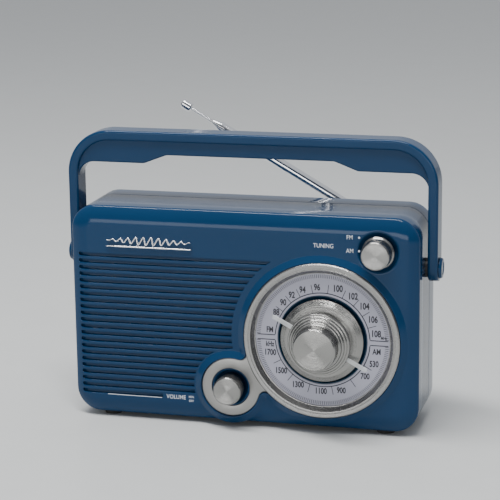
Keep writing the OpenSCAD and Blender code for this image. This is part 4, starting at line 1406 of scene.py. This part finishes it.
def add_word(shape: Shape, word: str, x: float, z: float, tall: float, narrow: float, y: float, thick: float,
             bold: float = 0.034) -> None:
    """Adds a printed word as thin raised letters, centred on a point.

    Args:
        shape: where the faces go.
        word: the letters.
        x: middle of the word.
        z: middle of its height.
        tall: height of its capitals.
        narrow: how much the letters are squeezed.
        y: the surface that it lies on.
        thick: how far the letters stand proud.
        bold: how much the strokes are thickened, in letter heights.
    """
    curve = bpy.data.curves.new("letters", "FONT")
    curve.body, curve.size, curve.extrude, curve.offset = word, 1.0, 0.5, bold
    curve.resolution_u = 3
    obj = bpy.data.objects.new("letters", curve)
    bpy.context.scene.collection.objects.link(obj)
    bpy.context.view_layer.update()
    mesh = bpy.data.meshes.new_from_object(obj.evaluated_get(bpy.context.evaluated_depsgraph_get()))
    across = [v.co.x for v in mesh.vertices]
    height = [v.co.y for v in mesh.vertices]
    middle_x, middle_z = (min(across) + max(across)) / 2, (min(height) + max(height)) / 2
    scale = tall / (max(height) - min(height))
    first = len(shape.points)
    for v in mesh.vertices:
        shape.points.append(Vector((x + (v.co.x - middle_x) * scale * narrow, y - (v.co.z + 0.5) * thick + 0.01,
                                    z + (v.co.y - middle_z) * scale)))
    shape.faces += [tuple(first + i for i in face.vertices) for face in mesh.polygons]
    bpy.data.objects.remove(obj)
    bpy.data.curves.remove(curve)
    bpy.data.meshes.remove(mesh)


@dataclass
class TickRow:
    """Short marks in a row round the dial, made by Geometry Nodes."""

    name: str
    count: int
    inner: float
    outer: float
    width: float
    start: float
    sweep: float

    def tree(self) -> bpy.types.NodeTree:
        """The node tree, with named inputs for its sizes.

        Returns:
            The new node tree.
        """
        tree = bpy.data.node_groups.new(self.name, "GeometryNodeTree")
        tree.interface.new_socket("Geometry", in_out="OUTPUT", socket_type="NodeSocketGeometry")
        for name, kind in (("Count", "Int"), ("Start", "Float"), ("Step", "Float"), ("Middle Radius", "Float"),
                           ("Length", "Float"), ("Width", "Float"), ("Thickness", "Float")):
            tree.interface.new_socket(name, in_out="INPUT", socket_type="NodeSocket" + kind)
        graph = Graph(tree)
        sizes = tree.nodes.new("NodeGroupInput")
        size = {s.name: Value(graph, s) for s in sizes.outputs if s.name}
        box = graph.node("ShaderNodeCombineXYZ", None, {0: size["Length"], 1: size["Thickness"], 2: size["Width"]})
        mark = graph.node("GeometryNodeMeshCube", None, {"Size": box})
        out = graph.node("ShaderNodeCombineXYZ", None, {0: size["Middle Radius"]})
        mark = graph.node("GeometryNodeTransform", None, {"Geometry": mark, "Translation": out})
        points = graph.node("GeometryNodePoints", None, {"Count": size["Count"]})
        turn = (graph.node("GeometryNodeInputIndex") * size["Step"] + size["Start"]) * -1.0
        spin = graph.node("ShaderNodeCombineXYZ", None, {1: turn})
        spread = graph.node("GeometryNodeInstanceOnPoints", None, {"Points": points, "Instance": mark,
                                        "Rotation": spin})
        centre = PLACES.dial * MM + Vector((0, Dial.face_depth * MM, 0))
        moved = graph.node("GeometryNodeTransform", None, {"Geometry": spread, "Translation": tuple(centre)})
        real = graph.node("GeometryNodeRealizeInstances", None, {"Geometry": moved})
        inked = graph.node("GeometryNodeSetMaterial", None, {"Geometry": real,
                                        "Material": Finishes.black_ink.material()})
        end = tree.nodes.new("NodeGroupOutput")
        tree.links.new(inked.socket, end.inputs[0])
        return tree

    def build(self) -> bpy.types.Object:
        """Makes the row as a plain mesh.

        Returns:
            The new object.
        """
        tree = self.tree()
        values = {"Count": self.count, "Start": self.start, "Step": self.sweep / (self.count - 1),
                  "Middle Radius": (self.inner + self.outer) / 2 * MM, "Length": (self.outer - self.inner) * MM,
                  "Width": self.width * MM, "Thickness": 0.1 * MM}
        obj = link(self.name, bpy.data.meshes.new(self.name), Finishes.black_ink.material())
        modifier = obj.modifiers.new(self.name, "NODES")
        modifier.node_group = tree
        for item in tree.interface.items_tree:
            if item.in_out == "INPUT" and item.name in values:
                modifier[item.identifier] = values[item.name]
        return baked(obj)


# ---------------------------------------------------------------- knobs

@dataclass
class Knobs:
    """The turned aluminium knobs and the clear pointer."""

    tuning_r: float = 15.5
    tuning_reach: float = 27.0
    step_r: float = 22.5
    skirt_r: float = 30.0
    pointer_r: float = 38.5
    pointer_deg: float = 152.0
    volume_r: float = 10.5
    volume_reach: float = 13.0
    band_r: float = 11.7
    band_reach: float = 12.0

    def tuning(self) -> bpy.types.Object:
        """The tuning knob's grip and its falling steps.

        Returns:
            The new object.
        """
        r, h = self.tuning_r, self.tuning_reach
        profile = rounded([(0, h - 0.15, 0), (r - 1.6, h - 0.15, 0.2), (r - 1.15, h, 0.2), (r - 0.15, h - 0.75, 0.3),
                           (r, h - 1.4, 0.3), (r, 17.6, 0.8), (r + 0.9, 16.8, 0.4), (r + 1.5, 16.7, 0.35),
                           (r + 1.9, 16.0, 0.3), (r + 2.1, 15.2, 0.25), (r + 3.0, 15.0, 0.35), (r + 3.6, 14.2, 0.3),
                           (r + 3.8, 13.6, 0.25), (r + 4.9, 13.4, 0.4), (r + 5.5, 12.6, 0.3), (r + 5.8, 12.4, 0.2),
                           (self.step_r - 0.3, 12.3, 0.45), (self.step_r, 11.6, 0.4), (self.step_r, 8.55, 0.2),
                           (self.step_r - 0.8, 8.5, 0), (0, 8.5, 0)], steps=4, support=0.12)
        return Shape().turn(Axis(PLACES.dial, TOWARDS, RIGHT), profile, 128).piece(
            "tuning_knob_grip", Finishes.tuning_metal.material(), sharp=50)

    def skirt(self) -> bpy.types.Object:
        """The wide dished skirt behind the pointer.

        Returns:
            The new object.
        """
        r = self.skirt_r
        profile = rounded([(0, 6.9, 0), (self.step_r - 5, 6.9, 0), (self.step_r - 3.5, 4.2, 1.5), (r - 4.0, 3.3, 1.0),
                           (r - 1.0, 1.75, 0.5), (r, 1.2, 0.5), (r, -0.95, 0.2), (0, -0.95, 0)], steps=5, support=0.2)
        return Shape().turn(Axis(PLACES.dial, TOWARDS, RIGHT), profile, 144).piece(
            "tuning_knob_dish", Finishes.tuning_metal.material(), sharp=50)

    def pointer(self) -> bpy.types.Object:
        """The clear disc with two arms.

        Returns:
            The new object.
        """
        shape = Shape()
        low, high, r = 7.0, 8.45, self.step_r - 0.5
        profile = rounded([(0, high, 0), (r, high, 0.3), (r, low, 0.3), (0, low, 0)], support=0.15)
        shape.turn(Axis(PLACES.dial, TOWARDS, RIGHT), profile, 96)
        half = 1.5
        for turn in (math.radians(self.pointer_deg), math.radians(self.pointer_deg + 180)):
            out = Vector((math.cos(turn), 0, math.sin(turn)))
            side = Vector((-out.z, 0, out.x))
            loops = []
            for reach, width in ((r - 0.6, half), (self.pointer_r - 1.5, half), (self.pointer_r - 0.4, half * 0.75),
                                 (self.pointer_r, half * 0.3)):
                section = rounded([(-width, low, 0.3), (width, low, 0.3), (width, high, 0.3), (0, high + 0.03, 0.2),
                                   (-width, high, 0.3)], steps=2, closed=True)
                loops.append([PLACES.dial + out * reach + side * p.x + TOWARDS * p.y for p in section])
            shape.loft(loops)
        return shape.piece("dial_pointer_clear", Finishes.clear.material())

    def small_knob(self, name: str, centre: Vector, profile: Sequence[Corner], finish: Finish) -> bpy.types.Object:
        """A small turned knob from its (radius, reach, rounding) corners."""
        return Shape().turn(Axis(centre, TOWARDS, RIGHT), rounded(profile, steps=4, support=0.12), 112).piece(
            name, finish.material(), sharp=50)

    def volume(self) -> bpy.types.Object:
        """The volume knob.

        Returns:
            The new object.
        """
        r, h = self.volume_r, self.volume_reach
        corners = [(0, h - 0.1, 0), (r - 1.35, h - 0.1, 0.15), (r - 1.0, h, 0.2), (r - 0.25, h - 0.75, 0.3),
                   (r - 0.1, h - 1.3, 0.3), (r, 2.0, 0.5), (r - 0.1, -1.4, 0.2), (0, -1.4, 0)]
        return self.small_knob("volume_knob_turned", PLACES.volume, corners, Finishes.volume_metal)

    def band(self) -> bpy.types.Object:
        """The band knob with its rear flange and the notch that points at the bands.

        Returns:
            The new object.
        """
        r, h = self.band_r, self.band_reach
        corners = [(0, h - 0.1, 0), (r - 2.75, h - 0.1, 0.15), (r - 2.4, h, 0.2), (r - 1.75, h - 0.65, 0.3),
                   (r - 1.6, h - 1.2, 0.3), (r - 1.25, 2.6, 0.7), (r - 0.5, 1.9, 0.5), (r, 1.2, 0.5), (r, -0.9, 0.4),
                   (r - 0.5, -1.4, 0.2), (0, -1.4, 0)]
        return self.small_knob("band_knob_turned", PLACES.band, corners, Finishes.band_metal)

    def band_mark(self) -> bpy.types.Object:
        """The small dark mark let into the band knob's flank.

        Returns:
            The new object.
        """
        shape, turn = Shape(), math.radians(150)
        out = Vector((math.cos(turn), 0, math.sin(turn)))
        side = Vector((-out.z, 0, out.x))
        loops = []
        for reach in (1.6, 2.4, 8.0, 10.2):
            edge = self.band_r - 1.38 - 0.035 * reach + (0.45 if reach < 2 else 0.0)
            section = rounded([(-0.45, edge - 0.6, 0), (0.45, edge - 0.6, 0), (0.45, edge, 0.15), (-0.45, edge, 0.15)],
                              steps=2, closed=True)
            loops.append([PLACES.band + out * p.y + side * p.x + TOWARDS * reach for p in section])
        shape.loft(loops)
        return shape.piece("band_knob_mark", Finishes.black.material())

    def build(self) -> None:
        """Makes the knobs."""
        settle(self.tuning(), "tuning", "spun_knob", "tuning_knob")
        settle(self.skirt(), "tuning", "spun_knob", "tuning_knob_skirt")
        settle(self.pointer(), "tuning", "clear_pointer", "dial_pointer")
        settle(self.volume(), "volume", "spun_knob", "volume_knob")
        settle(self.band(), "band", "spun_knob", "band_knob")
        settle(self.band_mark(), "band", "black_plastic")


# ---------------------------------------------------------------- labels and ornament

@dataclass
class Marks:
    """The white printing and the bright ornament on the panel."""

    ink_t: float = 0.06
    wave_half: float = 0.55
    wave_rise: float = 2.9
    wave_turns: float = 11.0
    proud: float = 1.75

    def labels(self) -> bpy.types.Object:
        """The white words, dots and the line beside the lowest groove.

        Returns:
            The new object.
        """
        shape, y = Shape(), PLACES.panel_y
        words = [("TUNING", 60.1, 137.3, 3.1, 0.86), ("FM", 78.9, 144.2, 3.0, 0.86), ("AM", 78.9, 134.6, 3.0, 0.86),
                 ("VOLUME", -49.7, 19.2, 3.1, 0.86), ("MIN", -38.2, 19.9, 1.7, 0.9), ("OFF", -38.2, 16.9, 1.7, 0.9)]
        for word, x, z, tall, narrow in words:
            add_word(shape, word, x, z, tall, narrow, y, self.ink_t, bold=0.004)
        for z in (144.2, 134.6):
            centre = Vector((85.6, y, z))
            rings = [[centre + Vector((dx, -d, dz)) for dx, dz in circle(0.75, 20)] for d in (-0.02, self.ink_t)]
            shape.loft(rings)
        shape_ribbon(shape, [Vector((-102.0, 17.9)), Vector((-60.5, 17.9))], 0.22, y, self.ink_t)
        return shape.piece("panel_labels", Finishes.white_ink.material())

    def ornament(self) -> bpy.types.Object:
        """A bright swelling wave over a thin bar, with rounded flanks.

        Returns:
            The new object.
        """
        low, high = (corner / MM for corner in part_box("ornament"))
        middle, half_w = (low.z + high.z) / 2 + 0.9, (high.x - low.x) / 2 - 1.0
        shape, steps = Shape(), 260
        centre_x = (low.x + high.x) / 2

        def at(share: float) -> Vector:
            """A point of the wave, at a share of its length from -1 to 1.

            Args:
                share: the place along its length.

            Returns:
                (x, z) of the point.
            """
            swell = (0.35 + 0.65 * math.cos(share * math.pi / 2) ** 2) * math.cos(share * math.pi / 2) ** 0.25
            rise = math.sin(share * math.pi * self.wave_turns) * self.wave_rise * swell
            return Vector((centre_x + share * half_w + 0.22 * rise, middle + rise))

        path = [at(-0.995 + 1.99 * k / steps) for k in range(steps + 1)]
        self.strip(shape, path, self.wave_half)
        bar_z = low.z + 0.75
        self.strip(shape, [Vector((low.x + 0.5 + (high.x - low.x - 1.0) * k / 12, bar_z)) for k in range(13)], 0.55)
        return shape.piece("front_ornament", Finishes.chrome.material(), sharp=60)

    def strip(self, shape: Shape, path: Sequence[Vector], half: float) -> None:
        """A raised bar with a domed top that follows a flat path and thins towards its ends.

        Args:
            shape: where the faces go.
            path: (x, z) points.
            half: half of its width.
        """
        loops, last = [], len(path) - 1
        for i, (before, here, after) in enumerate(zip([path[0], *path[:-1]], path, [*path[1:], path[-1]])):
            way = (after - before).normalized()
            side = Vector((-way.y, way.x))
            wide = half * min(1.0, 0.35 + 6.0 * min(i, last - i) / last)
            section = [(-wide, 0.02), (-wide, -self.proud * 0.72), (-wide * 0.8, -self.proud * 0.93),
                       (-wide * 0.35, -self.proud), (wide * 0.35, -self.proud), (wide * 0.8, -self.proud * 0.93),
                       (wide, -self.proud * 0.72), (wide, 0.02)]
            loops.append([Vector((here.x + side.x * s, PLACES.panel_y + d, here.y + side.y * s)) for s, d in section])
        shape.loft(loops)

    def build(self) -> None:
        """Makes the printing and the ornament."""
        settle(self.labels(), "cabinet", "dial_print")
        settle(self.ornament(), "cabinet", "chrome", "ornament")


# ---------------------------------------------------------------- handle

@dataclass
class Handle:
    """The strap handle with its recessed web, and the caps of its pivots."""

    strap_t: float = 7.3
    strap_d: float = 18.7
    outer_r: float = 32.0
    pivot_up: float = 114.0
    web_d: float = 13.7
    web_drop: float = 23.7
    web_step: float = 6.5
    web_mid: float = 62.0
    web_slope: float = 17.0
    web_corner: float = 12.0
    edge_r: float = 1.7
    cap_r: float = 7.5

    def stations(self) -> list[tuple[Vector, Vector, float]]:
        """Places along the strap's middle, as point, outward direction and half depth.

        Returns:
            The places in order, from the right pivot to the left.
        """
        low, high = (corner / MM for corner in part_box("handle"))
        x, top, half = high.x - self.strap_t / 2, high.z, self.strap_d / 2
        pivot_z, turn_z, turn_x = PLACES.low.z + self.pivot_up, high.z - self.outer_r, high.x - self.outer_r
        mid_r = self.outer_r - self.strap_t / 2
        right = []
        for degrees in (86, 80, 72, 63, 54, 45, 36, 27, 18, 9, 0):
            turn = math.radians(degrees)
            right.append((Vector((x, pivot_z - half * math.sin(turn))), Vector((1, 0)), half * math.cos(turn)))
        right += [(Vector((x, pivot_z + (turn_z - pivot_z) * k / 4)), Vector((1, 0)), half) for k in range(1, 4)]
        for k in range(25):
            turn = math.radians(90 * k / 24)
            out = Vector((math.cos(turn), math.sin(turn)))
            right.append((Vector((turn_x, turn_z)) + out * mid_r, out, half))
        right += [(Vector((turn_x * (1 - k / 4), top - self.strap_t / 2)), Vector((0, 1)), half) for k in range(1, 4)]
        centre = [(Vector((0, top - self.strap_t / 2)), Vector((0, 1)), half)]
        left = [(Vector((-p.x, p.y)), Vector((-n.x, n.y)), d) for p, n, d in reversed(right)]
        return right + centre + left

    def middle_y(self) -> float:
        """Y of the strap's middle."""
        low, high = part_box("handle")
        return (low.y + high.y) / 2 / MM

    def strap(self) -> bpy.types.Object:
        """The strap and its web as one piece.

        Returns:
            The new object.
        """
        shape, y, t = Shape(), self.middle_y(), self.strap_t / 2
        loops = []
        for point, out, half in self.stations():
            r = min(self.edge_r, 0.8 * half)
            section = rounded([(t, half, r), (-t, half, r), (-t, -half, r), (t, -half, r)], steps=5, closed=True,
                              support=0.35)
            loops.append([Vector((point.x + out.x * p.x, y + p.y, point.y + out.y * p.x)) for p in section])
        shape.loft(loops)
        self.web(shape, y)
        return shape.piece("handle_strap", Finishes.shell.material(), sharp=44)

    def web(self, shape: Shape, y: float) -> None:
        """Adds the recessed web under the strap.

        Args:
            shape: where the faces go.
            y: Y of the middle of the strap.
        """
        low, high = (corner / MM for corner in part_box("handle"))
        inner_x, buried = high.x - self.strap_t, 1.6
        edge = high.z - self.web_drop
        turn_x, turn_z, turn_r = high.x - self.outer_r, high.z - self.outer_r, self.outer_r - self.strap_t + buried
        half = [(self.web_mid, edge + self.web_step, 9.0), (self.web_mid + self.web_slope, edge, 9.0),
                (inner_x - 0.01, edge, self.web_corner), (inner_x + 0.1, edge - self.web_corner - 3.0, 0),
                (inner_x + buried, edge - self.web_corner - 3.0, 0)]
        arc = [(turn_x + turn_r * math.cos(math.radians(a)), turn_z + turn_r * math.sin(math.radians(a)), 0)
               for a in range(6, 91, 12)]
        side = half + arc
        corners = side + [(-a, b, r) for a, b, r in reversed(side)]
        outline = rounded(corners, steps=10, closed=True)
        bevel, deep = 1.1, self.web_d / 2
        levels = []
        for k in range(5):
            turn = math.radians(22.5 * k)
            levels.append((-bevel * (1 - math.sin(turn)), deep - bevel * (1 - math.cos(turn))))
        levels = [(-bevel - 0.5, deep)] + levels
        steps = [(g, -d) for g, d in levels] + [(g, d) for g, d in reversed(levels)]
        rings = [shape.ring(Vector((p.x, y + d, p.y)) for p in grown(outline, grow)) for grow, d in steps]
        shape.chain(rings)
        shape.fill(rings[0])
        shape.fill(rings[-1])

    def caps(self) -> bpy.types.Object:
        """The pivot pins' domed caps.

        Returns:
            The new object.
        """
        shape = Shape()
        low, high = (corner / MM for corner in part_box("handle"))
        cap_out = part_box("pivot_pins")[1].x / MM
        for side in (1, -1):
            axis = Axis(Vector((0, self.middle_y(), PLACES.low.z + self.pivot_up)), Vector((side, 0, 0)),
                        Vector((0, 1, 0)))
            face, r = high.x + 0.3, self.cap_r
            profile = rounded([(0, cap_out - 0.35, 0), (r - 3.2, cap_out - 0.35, 0.3), (r - 2.6, cap_out, 0.3),
                               (r - 0.6, cap_out - 0.15, 0.6), (r, face + 0.5, 0.5), (r, face, 0.1), (3.9, face, 0),
                               (3.9, face - 14.0, 0.3), (0, face - 14.0, 0)], steps=5, support=0.15)
            shape.turn(axis, profile, 72)
        return shape.piece("pivot_pin_caps", Finishes.shell.material(), sharp=50)

    def build(self) -> None:
        """Makes the handle's pieces."""
        settle(self.strap(), "handle", "cabinet_blue", "handle")
        settle(self.caps(), "cabinet", "cabinet_blue", "pivot_pins")


# ---------------------------------------------------------------- antenna

@dataclass
class Antenna:
    """The telescopic tubes and the tip of the antenna."""

    tilt_deg: float = 30.0
    edge: float = 25.5
    drop: float = 31.0
    mast_len: float = 158.5
    tube_step: float = 1.5
    foot: float = 12.0
    wall: float = 0.35
    rod_r: float = 1.15
    rod_foot: float = 34.0
    rod_out: float = 19.0
    cap_r: float = 3.5
    cap_len: float = 8.0

    def axis(self) -> Axis:
        """The antenna's own line, from its pivot.

        Returns:
            The line.
        """
        low, high = (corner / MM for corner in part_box("antenna_tip"))
        tilt = math.radians(self.tilt_deg)
        pivot = Vector((PLACES.high.x - self.edge, (low.y + high.y) / 2, PLACES.high.z - self.drop))
        return Axis(pivot, Vector((-math.cos(tilt), 0, math.sin(tilt))), Vector((0, 1, 0)))

    def tube(self, number: int, radius: float) -> bpy.types.Object:
        """One drawn tube with a rolled-in mouth.

        Args:
            number: the tube's number, counted from the mast.
            radius: the radius.

        Returns:
            The new object.
        """
        top, r, w = self.mast_len + (number - 1) * self.tube_step, radius, self.wall
        profile = rounded([(r, self.foot, 0.1), (r, top - 0.9, 0.5), (r - 0.55 * w, top, 0.12), (r - w, top - 0.1, 0.1),
                           (r - w, self.foot, 0.1)], closed=True, support=0.1)
        return Shape().turn(self.axis(), profile, 40, ring=True).piece(
            f"antenna_tube_{number}_drawn", Finishes.chrome.material(), sharp=50)

    def ferrule(self) -> bpy.types.Object:
        """The crimped collar at the mouth of the outer tube.

        Returns:
            The new object.
        """
        profile = rounded([(3.68, self.mast_len - 3.2, 0.05), (3.7, self.mast_len - 0.9, 0.5),
                           (3.3, self.mast_len + 0.02, 0.15), (3.22, self.mast_len - 0.4, 0),
                           (3.6, self.mast_len - 1.4, 0), (3.6, self.mast_len - 3.2, 0)], closed=True, support=0.1)
        return Shape().turn(self.axis(), profile, 48, ring=True).piece(
            "antenna_mouth_collar", Finishes.chrome.material(), sharp=50)

    def tip(self) -> bpy.types.Object:
        """The thin rod and its cap.

        Returns:
            The new object.
        """
        start = self.mast_len + 4 * self.tube_step
        cap, end, r = start + self.rod_out, start + self.rod_out + self.cap_len, self.cap_r
        profile = rounded([(0, self.rod_foot, 0), (self.rod_r, self.rod_foot, 0.1), (self.rod_r, cap - 0.3, 0.2),
                           (self.rod_r + 0.6, cap - 0.2, 0.15), (self.rod_r + 0.9, cap, 0.1), (r - 0.7, cap, 0.15),
                           (r, cap + 0.8, 0.25), (r, end - 1.0, 0.25), (r - 0.7, end, 0.25), (0, end, 0)], support=0.1)
        return Shape().turn(self.axis(), profile, 48).piece("antenna_tip_cap", Finishes.chrome.material(), sharp=50)

    def build(self) -> None:
        """Makes the antenna's pieces."""
        for number, radius in ((2, 3.15), (3, 2.65), (4, 2.15), (5, 1.65)):
            settle(self.tube(number, radius), f"antenna_{number}", "chrome", f"antenna_tube_{number}")
        settle(self.ferrule(), "antenna_mast", "chrome")
        settle(self.tip(), "antenna_tip", "chrome", "antenna_tip")


# ---------------------------------------------------------------- studio

@dataclass
class Studio:
    """The camera, the floor and the lights."""

    azimuth: float = 15.127
    elevation: float = 13.362
    roll: float = -0.722
    distance: float = 1360.54
    aim: Corner = (0.095, 0.0, 125.12)
    lens: float = 136.12

    def camera(self) -> None:
        """Adds the camera and makes it the scene's own."""
        a, e, r = (math.radians(v) for v in (self.azimuth, self.elevation, self.roll))
        back = Vector((math.sin(a) * math.cos(e), -math.cos(a) * math.cos(e), math.sin(e)))
        right = Vector((math.cos(a), math.sin(a), 0))
        up = back.cross(right)
        across, rise = right * math.cos(r) + up * math.sin(r), up * math.cos(r) - right * math.sin(r)
        data = bpy.data.cameras.new("camera")
        data.lens, data.sensor_width, data.clip_start, data.clip_end = self.lens, 36.0, 0.05, 60.0
        camera = bpy.data.objects.new("camera", data)
        turn = Matrix((across, rise, back)).transposed().to_4x4()
        camera.matrix_world = Matrix.Translation((Vector(self.aim) + back * self.distance) * MM) @ turn
        bpy.context.scene.collection.objects.link(camera)
        bpy.context.scene.camera = camera

    def lamp(self, name: str, where: Corner, size: tuple[float, float], power: float, aim: Corner) -> None:
        """Adds a soft rectangular light.

        Args:
            name: its name.
            where: its place in metres.
            size: its width and height in metres.
            power: its power in watts.
            aim: the point in metres that it faces.
        """
        data = bpy.data.lights.new(name, "AREA")
        data.shape, data.size, data.size_y, data.energy = "RECTANGLE", *size, power
        lamp = bpy.data.objects.new(name, data)
        lamp.location = where
        lamp.rotation_euler = (Vector(aim) - Vector(where)).to_track_quat("-Z", "Y").to_euler()
        bpy.context.scene.collection.objects.link(lamp)

    def sky(self) -> None:
        """A plain studio surround, bright above and behind and dim in front."""
        world = bpy.data.worlds.new("studio")
        world.use_nodes = True
        bpy.context.scene.world = world
        graph = Graph(world.node_tree)
        way = graph.node("ShaderNodeTexCoord", out="Generated")
        back = graph.node("ShaderNodeSeparateXYZ", None, {0: way}, "Y")
        high = graph.node("ShaderNodeSeparateXYZ", None, {0: way}, "Z")
        share = (back * 0.55 + high * 0.75 + 0.42).clamped() ** 1.5
        colour = graph.blend(share, (0.10, 0.11, 0.13), (0.92, 0.95, 1.0))
        light = graph.node("ShaderNodeBackground", None, {"Color": colour, "Strength": 0.65})
        graph.node("ShaderNodeOutputWorld", None, {"Surface": light})

    def floor(self) -> None:
        """A wide pale floor."""
        reach = 9.0
        mesh = bpy.data.meshes.new("floor")
        mesh.from_pydata([(-reach, -reach, 0), (reach, -reach, 0), (reach, reach, 0), (-reach, reach, 0)], [],
                         [(0, 1, 2, 3)])
        link("floor", mesh, PrintedSheet("floor_pale", (0.62, 0.63, 0.62), roughness=0.7).material())

    def build(self) -> None:
        """Sets up the studio."""
        self.camera()
        self.sky()
        self.floor()
        self.lamp("overhead", (-0.2, -0.4, 1.8), (1.5, 0.35), 42.0, (0, 0, 0.08))
        self.lamp("front_strip", (0.0, -2.3, 0.36), (2.4, 0.5), 17.0, (0, 0, 0.12))


def dress_cad() -> None:
    """Gives every CAD node that still shows its finish."""
    for finish, nodes in CAD_FINISHES.items():
        for node in nodes:
            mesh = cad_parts[node].data
            mesh.materials.clear()
            mesh.materials.append(finish.material())
            log.info("%s: finished as %s", node, finish.name)


def main() -> None:
    """Builds the radio's looks and the studio."""
    logging.basicConfig(level=logging.INFO, format="%(message)s")
    Studio().build()
    dress_cad()
    for assembly in (Cabinet(), Dial(), Knobs(), Marks(), Handle(), Antenna()):
        assembly.build()


if __name__ == "__main__":
    main()
